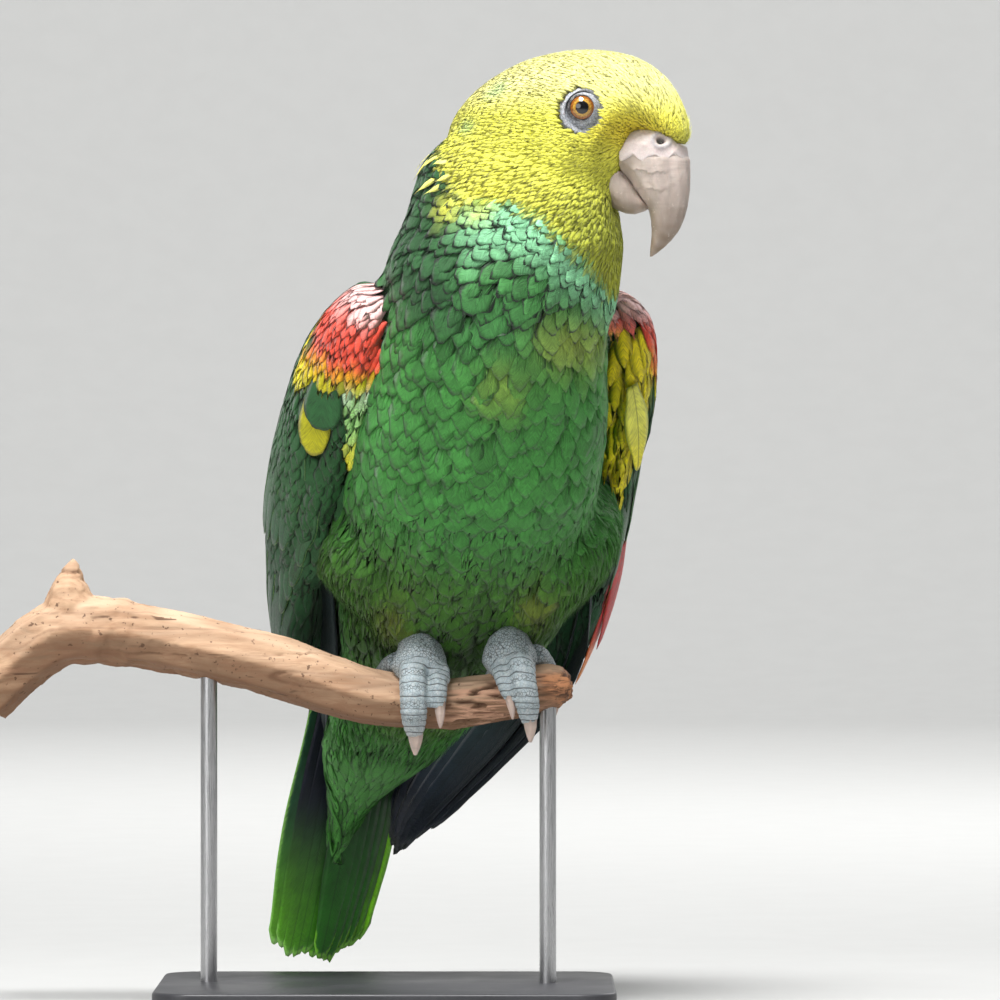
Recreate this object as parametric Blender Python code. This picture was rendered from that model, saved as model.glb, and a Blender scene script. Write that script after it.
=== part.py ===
"""Yellow-headed amazon parrot on a perch: a still, life-size display model.

The bird stands upright on a short length of bare branch, its head turned to its
left. The branch is held by two rods on a flat base. +Z is up, the bird faces -Y
and a little towards +X, and the origin is the middle of the base's underside.
"""
import math

import bmesh
import bpy
from mathutils import Matrix, Vector

MM = 0.001
GAP = 0.3 * MM                     # clearance between neighbouring pieces

# ---- Pose -----------------------------------------------------------------
BODY_YAW = math.radians(20)        # the breast's turn from -Y towards +X
BODY_PITCH = math.radians(62)      # the back's rise above level
HEAD_YAW = math.radians(80)        # the bill's turn from -Y towards +X
TRUNK_CENTRE = Vector((35, 6, 198.5)) * MM
HEAD_CENTRE = Vector((63, -26, 310)) * MM
NECK_CLEARANCE = 2.4 * GAP         # all round the head, where it sits in the neck
TRUNK_CLEARANCE = 1.5 * GAP        # all round the trunk, where the wings and thighs meet it

# ---- Head and bill (forward, up and out to the side from the head's centre)
HEAD_FRONT = 45 * MM               # forehead's reach in front of the centre
HEAD_BACK = 41 * MM                # nape's reach behind it
CROWN_FORWARD = 5 * MM             # the crown's highest point, in front of the centre
CROWN_HEIGHT = 31 * MM
CHIN_DEPTH = 31 * MM
FOREHEAD_LIP = 3.5 * MM            # lower edge of the forehead, over the cere
FOREHEAD_DROOP = 6 * MM            # how far that edge sinks towards its tip
FACE_FORWARD = 18 * MM             # where the cheek gives way to the bill
HEAD_HALF_WIDTH = 25 * MM
FOREHEAD_HALF_WIDTH = 7.5 * MM
FACE_HALF_WIDTH = 7.6 * MM         # the face's, where the bill grows out of it
EYE_RADIUS = 6.2 * MM
EYE_FORWARD = 10 * MM
EYE_UP = 10 * MM
EYE_OUT = 17.6 * MM
CERE_EDGE_DOWN = 6.5 * MM          # the cere's lower edge, under the head's centre

# ---- Perch and stand ------------------------------------------------------
BASE_SIZE = Vector((164, 120, 8.5)) * MM
BASE_CORNER = 14 * MM
BASE_EDGE = 1.2 * MM
ROD_RADIUS = 3 * MM
ROD_SIDE = {"left": -64 * MM, "right": 58 * MM}
ROD_DEPTH_IN_BASE = 4.5 * MM
ROD_DEPTH_IN_PERCH = 9 * MM

# Frame of the trunk: up along the back, out of the breast, to the bird's right.
FACING = Vector((math.sin(BODY_YAW), -math.cos(BODY_YAW), 0))
UP = Vector((0, 0, 1))
BODY_UP = math.cos(BODY_PITCH) * FACING + math.sin(BODY_PITCH) * UP
BODY_FRONT = math.sin(BODY_PITCH) * FACING - math.cos(BODY_PITCH) * UP
BODY_RIGHT = FACING.cross(UP)
HEAD_FORWARD = Vector((math.sin(HEAD_YAW), -math.cos(HEAD_YAW), 0))
HEAD_RIGHT = HEAD_FORWARD.cross(UP)

SIDES = {"right": 1, "left": -1}


def in_body(up, right, front):
    """World place of a point given in millimetres in the trunk's frame."""
    return TRUNK_CENTRE + (up * BODY_UP + right * BODY_RIGHT + front * BODY_FRONT) * MM


def in_head(forward, up, right):
    """World place of a point given in metres in the head's frame."""
    return HEAD_CENTRE + forward * HEAD_FORWARD + up * UP + right * HEAD_RIGHT


# ---- Scene, materials and mesh tools --------------------------------------
def clear_scene():
    for thing in list(bpy.data.objects):
        bpy.data.objects.remove(thing, do_unlink=True)


def collection(name):
    group = bpy.data.collections.new(name)
    bpy.context.scene.collection.children.link(group)
    return group


def material(name, colour, roughness, metallic=0.0):
    finish = bpy.data.materials.new(name)
    finish.use_nodes = True
    shader = finish.node_tree.nodes["Principled BSDF"]
    shader.inputs["Base Color"].default_value = (*colour, 1)
    shader.inputs["Roughness"].default_value = roughness
    shader.inputs["Metallic"].default_value = metallic
    finish.diffuse_color = (*colour, 1)
    return finish


def add_object(name, mesh, finish, group):
    thing = bpy.data.objects.new(name, mesh)
    group.objects.link(thing)
    if finish is not None:
        mesh.materials.append(finish)
    mesh.shade_smooth()
    mesh.set_sharp_from_angle(angle=math.radians(50))
    return thing


def smooth_row(rows, position):
    """Catmull-Rom value of a table of equal-length rows at a fractional row."""
    last = len(rows) - 1
    index = min(int(position), last - 1)
    part = position - index
    before, here = rows[max(index - 1, 0)], rows[index]
    after, beyond = rows[index + 1], rows[min(index + 2, last)]
    mixed = []
    for p0, p1, p2, p3 in zip(before, here, after, beyond):
        bend = 2 * p0 - 5 * p1 + 4 * p2 - p3
        twist = 3 * p1 - p0 - 3 * p2 + p3
        mixed.append(p1 + 0.5 * part * (p2 - p0 + part * (bend + part * twist)))
    return mixed


def sections_between(rows, first, last, count):
    """Evenly spaced smooth rows from one fractional row to another."""
    step = (last - first) / (count - 1)
    return [smooth_row(rows, first + step * index) for index in range(count)]


def loft(name, rings, finish, group):
    """Closed body through rings of points, with a flat cap at each end."""
    shape = bmesh.new()
    levels = [[shape.verts.new(point) for point in ring] for ring in rings]
    for lower, upper in zip(levels, levels[1:]):
        for index, vert in enumerate(lower):
            following = (index + 1) % len(lower)
            shape.faces.new((vert, lower[following], upper[following], upper[index]))
    shape.faces.new(list(reversed(levels[0])))
    shape.faces.new(levels[-1])
    bmesh.ops.recalc_face_normals(shape, faces=shape.faces)
    mesh = bpy.data.meshes.new(name)
    shape.to_mesh(mesh)
    shape.free()
    return add_object(name, mesh, finish, group)


def oval(centre, across, along, half_across, front, back, count, power=2.0):
    """Ring of points: an oval with its own reach to the front and to the back."""
    ring = []
    for index in range(count):
        turn = math.tau * index / count
        side, reach = math.cos(turn), math.sin(turn)
        side = math.copysign(abs(side) ** (2 / power), side)
        reach = math.copysign(abs(reach) ** (2 / power), reach)
        reach *= front if reach > 0 else back
        ring.append(centre + across * half_across * side + along * reach)
    return ring


def tube(name, points, radii, finish, group, resolution=2, steps=2):
    """Tapered round bar along a smooth path, as a closed mesh."""
    rows = [(*point, radius) for point, radius in zip(points, radii)]
    count = steps * (len(rows) - 1) + 1
    sections = sections_between(rows, 0, len(rows) - 1, count)
    path = bpy.data.curves.new(name, "CURVE")
    path.dimensions = "3D"
    path.bevel_depth = 1
    path.bevel_resolution = resolution
    path.use_fill_caps = True
    spline = path.splines.new("POLY")
    spline.points.add(count - 1)
    for point, (x, y, z, radius) in zip(spline.points, sections):
        point.co = (x, y, z, 1)
        point.radius = radius
    carrier = bpy.data.objects.new(name + "_path", path)
    group.objects.link(carrier)
    bpy.context.view_layer.update()
    graph = bpy.context.evaluated_depsgraph_get()
    mesh = bpy.data.meshes.new_from_object(carrier.evaluated_get(graph))
    bpy.data.objects.remove(carrier, do_unlink=True)
    shape = bmesh.new()
    shape.from_mesh(mesh)
    bmesh.ops.remove_doubles(shape, verts=shape.verts, dist=0.01 * MM)
    bmesh.ops.recalc_face_normals(shape, faces=shape.faces)
    shape.to_mesh(mesh)
    shape.free()
    mesh.name = name
    mesh.materials.clear()
    return add_object(name, mesh, finish, group)


def cutter_from(piece, name, margin=GAP):
    """A copy of a finished piece, swelled by the clearance, to cut its neighbours."""
    bpy.context.view_layer.update()
    graph = bpy.context.evaluated_depsgraph_get()
    mesh = bpy.data.meshes.new_from_object(piece.evaluated_get(graph))
    shape = bmesh.new()
    shape.from_mesh(mesh)
    bmesh.ops.remove_doubles(shape, verts=shape.verts, dist=0.01 * MM)
    bmesh.ops.triangulate(shape, faces=shape.faces)
    shape.normal_update()
    moves = [vert.normal * margin for vert in shape.verts]
    for vert, move in zip(shape.verts, moves):
        vert.co += move
    shape.to_mesh(mesh)
    shape.free()
    mesh.materials.clear()
    return as_cutter(name, mesh)


def as_cutter(name, mesh):
    tool = bpy.data.objects.new("cut_" + name, mesh)
    CUTTERS.objects.link(tool)
    tool.hide_render = True
    tool.display_type = "WIRE"
    return tool


def combine(piece, tool, operation="DIFFERENCE"):
    change = piece.modifiers.new(operation.title(), "BOOLEAN")
    change.operation = operation
    change.solver = "EXACT"
    change.object = tool


def keep_side(piece, point, normal):
    """Cut a piece by a plane and keep the side that the normal points to."""
    shape = bmesh.new()
    shape.from_mesh(piece.data)
    everything = shape.verts[:] + shape.edges[:] + shape.faces[:]
    cut = bmesh.ops.bisect_plane(shape, geom=everything, dist=1e-6, plane_co=point,
                                 plane_no=normal, clear_inner=True)
    rim = [edge for edge in cut["geom_cut"] if isinstance(edge, bmesh.types.BMEdge)]
    bmesh.ops.edgeloop_fill(shape, edges=rim)
    bmesh.ops.recalc_face_normals(shape, faces=shape.faces)
    shape.to_mesh(piece.data)
    shape.free()


def ball(name, centre, radius, finish, group, segments=14, rings=9):
    shape = bmesh.new()
    bmesh.ops.create_uvsphere(shape, u_segments=segments, v_segments=rings, radius=radius)
    bmesh.ops.translate(shape, verts=shape.verts, vec=centre)
    mesh = bpy.data.meshes.new(name)
    shape.to_mesh(mesh)
    shape.free()
    return add_object(name, mesh, finish, group)


# ---- Trunk and neck -------------------------------------------------------
# Each section: height along the back, shift to the right, shift to the front, half
# width, reach to the front, reach to the back, pitch and yaw of the section's normal.
TRUNK_SECTIONS = [
    (123, 0, -20, 9, 9, 9, 90, 80),
    (112, 0, -21, 20, 22, 27, 90, 80),
    (102, 0, -18, 25, 31, 33, 90, 78),
    (89, -2, -11, 30, 38, 38, 86, 66),
    (73, 1, -8, 38, 41, 42, 74, 40),
    (57, 3.5, -5, 39, 42, 43, 65, 20),
    (29, 3, -3, 43.5, 45, 44, 62, 20),
    (0, 4, 0, 45.5, 47, 45, 62, 20),
    (-34, 2.5, -4, 45, 46, 43, 62, 20),
    (-64, 0, -6, 42, 36, 37, 62, 20),
    (-96, 2, -14, 33, 29, 29, 62, 20),
    (-130, 7, -27, 24, 17, 15, 62, 20),
    (-162, 9, -38, 18, 9, 6, 62, 20),
    (-184, 10, -43, 12, 5, 3.5, 62, 20),
    (-198, 11, -46, 5, 2.5, 1.5, 62, 20),
]
SQUARE_FROM = 5                    # from this section down the trunk is not twisted
RING_POINTS = 26
# Each named length of the trunk: first section, last section, number of rings.
TRUNK_LENGTHS = {
    "neck": (0, 5, 7),
    "breast": (5, 7, 5),
    "belly": (7, 9.5, 6),
    "vent": (9.5, 11, 4),
    "tail_coverts": (11, 14, 6),
}
BACK_OF = {"breast": "mantle", "belly": "back", "vent": "rump"}


def trunk_ring(row, first=0, count=RING_POINTS, shift=0.0):
    up, right, front, half_width, reach, back, pitch, yaw = row
    pitch, yaw = math.radians(pitch), math.radians(yaw)
    facing = Vector((math.sin(yaw), -math.cos(yaw), 0))
    across = facing.cross(UP)
    outward = math.sin(pitch) * facing - math.cos(pitch) * UP
    ring = oval(in_body(up, right, front), across, outward, half_width * MM,
                reach * MM, back * MM, RING_POINTS, power=2.15)
    chosen = [ring[(first + index) % RING_POINTS] for index in range(count)]
    return [point + outward * shift for point in chosen]


def trunk_rows(first, last, count):
    rows = sections_between(TRUNK_SECTIONS, first, last, count)
    if first >= SQUARE_FROM:
        yaw = math.degrees(BODY_YAW)
        rows = [[*row[:-1], yaw] for row in rows]
    return rows


def build_trunk(group, finishes):
    pieces = {}
    half = RING_POINTS // 2 + 1
    for name, (first, last, count) in TRUNK_LENGTHS.items():
        rows = trunk_rows(first, last, count)
        if name != "tail_coverts":
            thin = GAP / (in_body(*rows[-1][:3]) - in_body(*rows[-2][:3])).length
            rows[-1] = smooth_row((rows[-2], rows[-1]), 1 - thin)
        if name not in BACK_OF:
            rings = [trunk_ring(row) for row in rows]
            pieces[name] = loft(name, rings, finishes[name], group)
            continue
        front = [trunk_ring(row, 0, half, GAP / 2) for row in rows]
        pieces[name] = loft(name, front, finishes[name], group)
        behind = BACK_OF[name]
        back = [trunk_ring(row, half - 1, half, -GAP / 2) for row in rows]
        pieces[behind] = loft(behind, back, finishes[behind], group)
    return pieces


def build_trunk_cutter():
    """The whole trunk in one swelled body, which the wings and legs are cut by."""
    rows = []
    for length in TRUNK_LENGTHS.values():
        rows = rows[:-1] + trunk_rows(*length)
    whole = loft("trunk_whole", [trunk_ring(row) for row in rows], None, CUTTERS)
    tool = cutter_from(whole, "trunk", TRUNK_CLEARANCE)
    bpy.data.objects.remove(whole, do_unlink=True)
    return tool


# ---- Head, eyes and bill --------------------------------------------------
def smooth_step(value, low, high):
    part = min(max((value - low) / (high - low), 0), 1)
    return part * part * (3 - 2 * part)


def head_top(forward):
    if forward > CROWN_FORWARD:
        part = (forward - CROWN_FORWARD) / (HEAD_FRONT - CROWN_FORWARD)
        return CROWN_HEIGHT * (1 - part ** 2.6) ** (1 / 2.1)
    part = (CROWN_FORWARD - forward) / (HEAD_BACK + CROWN_FORWARD)
    return CROWN_HEIGHT * (1 - part ** 1.75) ** (1 / 1.7)


def head_bottom(forward):
    part = min(abs(forward - CROWN_FORWARD) / (HEAD_BACK + CROWN_FORWARD), 1)
    jaw = -CHIN_DEPTH * (1 - part ** 2.2) ** 0.5
    lift = smooth_step(forward, FACE_FORWARD - 4 * MM, FACE_FORWARD + 8 * MM)
    lip = FOREHEAD_LIP - FOREHEAD_DROOP * smooth_step(forward, 28 * MM, HEAD_FRONT)
    return min(jaw * (1 - lift) + lip * lift, head_top(forward) - 1.5 * MM)


def head_half_width(forward, up):
    """The brow narrows slowly towards the bill, and the cheek much sooner."""
    part = max(-forward, 0) / HEAD_BACK
    round_back = (1 - min(part, 1) ** 2.2) ** 0.5
    brow_taper = smooth_step(forward, 2 * MM, HEAD_FRONT)
    brow = HEAD_HALF_WIDTH + (FOREHEAD_HALF_WIDTH - HEAD_HALF_WIDTH) * brow_taper
    cheek_taper = smooth_step(forward, 2 * MM, FACE_FORWARD + 5 * MM)
    cheek = HEAD_HALF_WIDTH + (FACE_HALF_WIDTH - HEAD_HALF_WIDTH) * cheek_taper
    share = smooth_step(up, -8 * MM, 7 * MM)
    return min(cheek + (brow - cheek) * share, HEAD_HALF_WIDTH * round_back)


def build_head(group, finish):
    rings = []
    steps, points = 17, 20
    for index in range(steps):
        turn = math.pi * (index + 0.4) / (steps - 0.3)
        middle = (HEAD_FRONT - HEAD_BACK) / 2
        forward = middle - math.cos(turn) * (HEAD_FRONT + HEAD_BACK) / 2
        top, bottom = head_top(forward), head_bottom(forward)
        centre, half = (top + bottom) / 2, (top - bottom) / 2
        ring = []
        for place in oval(Vector(), Vector((1, 0, 0)), UP, 1, half, half, points, power=2.2):
            up = centre + place.z
            ring.append(in_head(forward, up, place.x * head_half_width(forward, up)))
        rings.append(ring)
    return loft("head", rings, finish, group)


# Bill sections: outer edge and inner edge (each forward and up from the head's
# centre, in millimetres) and the half width.
UPPER_BILL = [
    (25, 4, 17, -10, 8.4),
    (36.5, 4.5, 22, -13, 8.8),
    (44.5, -2.5, 25, -17, 8.2),
    (46, -12.5, 28.5, -22, 7.2),
    (45, -24, 31, -25.5, 5.6),
    (42, -32.5, 32, -32.5, 3.8),
    (36.7, -38.5, 31.6, -38, 2.1),
    (32, -42.2, 31.2, -42, 0.5),
]
LOWER_BILL = [
    (12, -14, 17, -9.6, 6.8),
    (14, -21, 21, -14.5, 7.6),
    (17.6, -26.4, 24.4, -19, 7.2),
    (23, -29, 27, -23.5, 6),
    (27.8, -29.2, 29.2, -26, 4.2),
    (30.6, -27.6, 30.4, -26.4, 1.4),
]


def bill_ring(row, points=14):
    """A bill's section: rounded on its outer edge, broadest nearer its inner edge."""
    outer_forward, outer_up, inner_forward, inner_up, half_width = row
    ring = []
    for index in range(points):
        turn = math.tau * index / points
        depth = 0.5 - 0.5 * math.cos(turn)
        spread = math.sin(turn) * (0.86 + 0.34 * depth)
        forward = outer_forward + (inner_forward - outer_forward) * depth
        up = outer_up + (inner_up - outer_up) * depth
        ring.append(in_head(forward * MM, up * MM, spread * half_width * MM))
    return ring


def build_bill(group, head, finishes):
    head_tool = cutter_from(head, "head", NECK_CLEARANCE)
    upper_rows = sections_between(UPPER_BILL, 0, len(UPPER_BILL) - 1, 15)
    lower_rows = sections_between(LOWER_BILL, 0, len(LOWER_BILL) - 1, 8)
    edge = in_head(0, -CERE_EDGE_DOWN, 0)
    cere = loft("cere", [bill_ring(row) for row in upper_rows], finishes["cere"], group)
    keep_side(cere, edge + UP * GAP / 2, UP)
    upper = loft("bill_upper", [bill_ring(row) for row in upper_rows],
                 finishes["bill_upper"], group)
    keep_side(upper, edge - UP * GAP / 2, -UP)
    lower = loft("bill_lower", [bill_ring(row) for row in lower_rows],
                 finishes["bill_lower"], group)
    combine(lower, cutter_from(upper, "bill_upper"))
    for piece in (cere, upper, lower):
        combine(piece, head_tool)
    return head_tool, cutter_from(lower, "bill_lower")


def build_eyes(group, head, finish):
    for side, sign in SIDES.items():
        centre = in_head(EYE_FORWARD, EYE_UP, sign * EYE_OUT)
        eye = ball("eye_" + side, centre, EYE_RADIUS, finish, group)
        combine(head, cutter_from(eye, "eye_" + side))


# ---- Wings ----------------------------------------------------------------
# Each section of a folded wing, from the bend to the tip: height along the back,
# its front edge (out, front), its rear edge (out, front), its outward bulge and
# its thickness at the front edge.
WING_SECTIONS = [
    (57, 51, -12, 46, -22, 1, 5),
    (52, 53, -3, 44, -33, 5, 11),
    (42, 55, 2, 40, -43, 10, 14),
    (22, 56, 4, 37, -52, 16, 15),
    (-10, 58, 3, 35, -54, 19, 13),
    (-45, 59, -1, 32, -55, 18, 10),
    (-88, 56, -8, 28, -56, 12, 7),
    (-128, 43, -22, 23, -56, 6, 5),
    (-165, 30, -36, 18, -54, 2.5, 4),
    (-190, 24, -45, 19, -52, 1, 2.5),
]
WING_LENGTHS = {
    "shoulder": (0, 3.6, 8),
    "coverts": (3.6, 5.2, 4),
    "secondaries": (5.2, 6.6, 4),
    "primaries": (6.6, 9, 6),
}
# How far each wing's tip strays from those sections (out, front): the right tip
# lies behind the tail, and the left one hangs beside it.
TIP_SHIFT = {1: Vector((0, -11)), -1: Vector((-17, 14))}
WING_CLOSENESS = {1: 0, -1: 2.5}  # how much nearer the trunk each wing lies, near its bend
REAR_THICKNESS = 1.4
WING_NOSE = 0.14                   # share of the chord over which the front edge is rounded
WING_LINING = 20                   # how far the inner side swells, to rest on the flank
LINING_ENDS = (80, 128)            # depths under the trunk's middle where that swelling fades


def wing_ring(row, sign, points=8):
    up, out, front, rear_out, rear_front, bulge, thick = row
    share = smooth_step(-up, 110, 190)
    stray = TIP_SHIFT[sign] * share
    tuck = WING_CLOSENESS[sign] * (1 - smooth_step(-up, 0, 80))
    out, front = out + stray.x - tuck, front + stray.y
    rear_out, rear_front = rear_out + stray.x - tuck, rear_front + stray.y
    start, end = Vector((out, front)), Vector((rear_out, rear_front))
    chord = end - start
    normal = Vector((-chord.y, chord.x)).normalized()
    lining = WING_LINING * (1 - smooth_step(-up, *LINING_ENDS))
    outer, inner = [], []
    for index in range(points):
        part = (1 - math.cos(math.pi * (index + 0.5) / points)) / 2
        middle = start + chord * part + normal * bulge * 4 * part * (1 - part)
        nose = min(part / WING_NOSE, 1)
        half = (thick * (1 - part) + REAR_THICKNESS * part) / 2 * math.sqrt(nose * (2 - nose))
        swell = lining * math.sin(math.pi * part)
        outer.append(middle + normal * half)
        inner.append(middle - normal * (half + swell))
    outline = outer + inner[::-1]
    return [in_body(up, sign * point.x, point.y) for point in outline]


def build_wings(group, trunk_tool, tail, finishes):
    wings = {"right": [], "left": []}
    for side, sign in SIDES.items():
        for part, (first, last, count) in WING_LENGTHS.items():
            rows = sections_between(WING_SECTIONS, first, last, count)
            if part != "primaries":
                thin = GAP / MM / abs(rows[-1][0] - rows[-2][0])
                rows[-1] = smooth_row((rows[-2], rows[-1]), 1 - thin)
            rings = [wing_ring(row, sign) for row in rows]
            wing = loft("wing_%s_%s" % (side, part), rings, finishes[part], group)
            combine(wing, trunk_tool)
            if part == "primaries":
                combine(wing, cutter_from(tail[side], "tail_" + side))
            wings[side].append(wing)
    return wings


# ---- Tail -----------------------------------------------------------------
TAIL_ROOT = -140                   # height along the back where the tail starts
TAIL_END = -241
TAIL_SHIFT = (8.5, 13)             # the tail's lean to the bird's right, at root and tip
TAIL_DEPTH = -45.5                 # the tail's place behind the trunk's middle
TAIL_ROOT_WIDTH = 18.5
TAIL_WIDTH = 21.5
TAIL_THICKNESS = 3.2
TAIL_ARCH = 3
TAIL_ROUND_FROM = 0.72             # share of the length past which the strips round off
TAIL_RINGS = 10
TAIL_STRIPS = {"left": (-1, -0.34), "middle": (-0.34, 0.34), "right": (0.34, 1)}


def tail_ring(inner, outer, part):
    """One cross-section of a strip of the tail, which narrows and thins near its tip."""
    up = TAIL_ROOT + (TAIL_END - TAIL_ROOT) * (1 - (1 - part) ** 1.3)
    spread = TAIL_ROOT_WIDTH + (TAIL_WIDTH - TAIL_ROOT_WIDTH) * smooth_step(part, 0, 0.5)
    lean = TAIL_SHIFT[0] + (TAIL_SHIFT[1] - TAIL_SHIFT[0]) * part
    past = max(part - TAIL_ROUND_FROM, 0) / (1 - TAIL_ROUND_FROM)
    rounding = math.sqrt(1 - 0.87 * past ** 2)
    middle = (inner + outer) / 2
    half = (outer - inner) / 2 * (0.45 + 0.55 * rounding)
    thick = TAIL_THICKNESS * (0.4 + 0.6 * rounding)
    ring = []
    for layer, order in ((0.5, range(5)), (-0.5, range(4, -1, -1))):
        for step in order:
            across = middle + half * (step / 2 - 1)
            right = across * spread - GAP / MM / 2 * (step / 2 - 1)
            front = TAIL_DEPTH - TAIL_ARCH * (1 - across * across) + layer * thick
            ring.append(in_body(up, lean + right, front))
    return ring


def build_tail(group, finish, coverts):
    tool = cutter_from(coverts, "tail_coverts")
    strips = {}
    for side, (inner, outer) in TAIL_STRIPS.items():
        rings = [tail_ring(inner, outer, index / (TAIL_RINGS - 1)) for index in range(TAIL_RINGS)]
        strips[side] = loft("tail_" + side, rings, finish, group)
        combine(strips[side], tool)
    return strips


# ---- Perch ----------------------------------------------------------------
# Along the branch: side, back, height and radius, in millimetres.
PERCH_SECTIONS = [
    (-146, 12, 110, 11.5),
    (-133, 11, 123, 11.8),
    (-120, 10, 133, 12.6),
    (-106, 9, 135, 12.8),
    (-86, 8, 132.5, 12),
    (-60, 5, 127, 11.4),
    (-33, 3, 120, 11.6),
    (-8, 1, 111.5, 10.3),
    (24, 0, 108.5, 9.4),
    (48, -1, 112.5, 9),
    (60, -1.5, 115, 8.4),
    (65.5, -1.7, 116.5, 5),
]
STUB = [(-113, 9, 132, 10), (-114.5, 9, 145, 9.5), (-114, 9, 154, 5.5), (-113, 9, 161, 0.8)]


def branch_at(side):
    """Centre and radius of the branch at a place along X."""
    rows = PERCH_SECTIONS
    side = min(side, rows[-2][0] - 0.1)
    index = next(i for i in range(len(rows) - 2) if rows[i + 1][0] > side)
    part = (side - rows[index][0]) / (rows[index + 1][0] - rows[index][0])
    row = smooth_row(rows, index + part)
    return Vector(row[:3]) * MM, row[3] * MM


def build_perch(group, finish):
    points = [Vector(row[:3]) * MM for row in PERCH_SECTIONS]
    perch = tube("perch", points, [row[3] * MM for row in PERCH_SECTIONS], finish, group, 2)
    stub = tube("stub", [Vector(row[:3]) * MM for row in STUB],
                [row[3] * MM for row in STUB], None, CUTTERS, 2)
    stub.hide_render = True
    stub.display_type = "WIRE"
    combine(perch, stub, "UNION")
    return perch


# ---- Legs -----------------------------------------------------------------
# Level sections of each thigh: side, back, height, half width and half depth.
THIGHS = {
    "right": [(4, 30, 198, 7, 7), (-2, 22, 189, 14, 15), (-4, 14, 172, 19.5, 21),
              (-4, 8.5, 155, 20, 20), (4, 7, 141, 13.5, 13.5), (8, 7, 132, 8, 8),
              (9, 7, 129, 5.5, 5.5)],
    "left": [(52, 36, 198, 7, 7), (60, 30, 189, 16, 16), (63, 21, 172, 21.5, 21),
             (59, 12, 155, 20, 20), (51, 8.5, 141, 13.5, 13.5), (47, 8, 132, 8, 8),
             (46, 8, 129, 5.5, 5.5)],
}
THIGH_RINGS = 11
THIGH_POINTS = 14
FOOT_SIDE = {"right": 11.5, "left": 44}
FOOT_HALF_WIDTH = 9.5 * MM
# Each toe: start and end along X from the foot's middle, angles round the branch
# (0 on top, positive to the front), length hanging free, radii at root and tip.
TOES = {
    "right": {
        "outer_front": (-1.8, -1.2, 25, 118, 3, 4.8, 4),
        "inner_front": (6.8, 7.4, 25, 88, 0, 3.4, 2.8),
        "outer_rear": (-8, -17, -14, -100, 0, 3.8, 3),
        "inner_rear": (4.5, 8, -30, -92, 0, 3.3, 2.6),
    },
    "left": {
        "outer_front": (3.6, 6.4, 25, 118, 3, 4.6, 3.8),
        "inner_front": (-4.8, -1, 25, 88, 0, 3.1, 2.5),
        "outer_rear": (8, 17, -14, -105, 0, 3.8, 3),
        "inner_rear": (-4.5, -10, -30, -92, 0, 3.3, 2.6),
    },
}
CLAW_LENGTH = 8.5
CLAW_HOOK = 0.8                    # how sharply each length of the claw turns down
TOE_LIFT = 0.6                     # between a toe's underside and the bark


def round_branch(side, angle, lift):
    """A point at an angle round the branch, a height above its bark."""
    centre, radius = branch_at(side)
    turn = math.radians(angle)
    reach = radius + lift
    return centre + Vector((0, -math.sin(turn) * reach, math.cos(turn) * reach))


def build_leg(side, group, wing, trunk_tool, perch_tool, finishes):
    rows = THIGHS[side]
    rings = []
    for x, y, z, half_width, half_depth in sections_between(rows, 0, len(rows) - 1, THIGH_RINGS):
        centre = Vector((x, y, z)) * MM
        rings.append(oval(centre, Vector((1, 0, 0)), Vector((0, 1, 0)), half_width * MM,
                          half_depth * MM, half_depth * MM, THIGH_POINTS))
    thigh = loft("thigh_" + side, rings, finishes["thigh"], group)
    combine(thigh, trunk_tool)
    thigh_tool = cutter_from(thigh, "thigh_" + side)
    for length in wing:
        combine(length, thigh_tool)

    middle = FOOT_SIDE[side]
    top, radius = branch_at(middle)
    ankle = Vector(rows[-1][:3]) * MM
    rise = top.z + radius
    points = [ankle + Vector((0, 1, 4)) * MM, Vector((middle * MM, 1 * MM, rise + 8 * MM)),
              Vector((middle * MM, -1.5 * MM, rise + 3 * MM)),
              Vector((middle * MM, -1.5 * MM, rise - 2 * MM))]
    foot = tube("foot_" + side, points, [4.2 * MM, 7.4 * MM, FOOT_HALF_WIDTH, 6 * MM],
                finishes["foot"], group, 3)
    combine(foot, perch_tool)
    combine(foot, trunk_tool)
    foot_tool = cutter_from(foot, "foot_" + side)
    combine(thigh, cutter_from(foot, "foot_in_thigh_" + side))

    for name, (start, end, first, last, drop, root, tip) in TOES[side].items():
        build_toe("toe_%s_%s" % (side, name), middle, (start, end), (first, last), drop,
                  (root, tip), foot_tool, group, finishes)


def build_toe(name, middle, sides, angles, drop, radii, foot_tool, group, finishes):
    steps = 6
    points, widths = [], []
    for index in range(steps):
        part = index / (steps - 1)
        width = radii[0] + (radii[1] - radii[0]) * part
        side = middle + sides[0] + (sides[1] - sides[0]) * part
        angle = angles[0] + (angles[1] - angles[0]) * part
        points.append(round_branch(side, angle, (width + TOE_LIFT) * MM))
        widths.append(width * MM)
    direction = (points[-1] - points[-2]).normalized()
    if drop:
        direction = (direction - 2 * UP).normalized()
        points.append(points[-1] + direction * drop * MM)
        widths.append(widths[-1] * 0.95)
    toe = tube(name, points, widths, finishes["toe"], group, 2, 1)
    combine(toe, foot_tool)

    # The claw leaves the toe's end square and hooks: down in front, under behind.
    hook = -UP if angles[1] > 0 else Vector((0, -1.6, -1)).normalized()
    place = points[-1] + direction * GAP
    claw_points, claw_radii = [place], [widths[-1] * 0.66]
    for share, girth in ((0.34, 0.55), (0.34, 0.36), (0.32, 0.12)):
        place = place + direction * share * CLAW_LENGTH * MM
        claw_points.append(place)
        claw_radii.append(widths[-1] * girth)
        direction = (direction + CLAW_HOOK * hook).normalized()
    tube(name.replace("toe", "claw"), claw_points, claw_radii, finishes["claw"], group, 1, 1)


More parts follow.
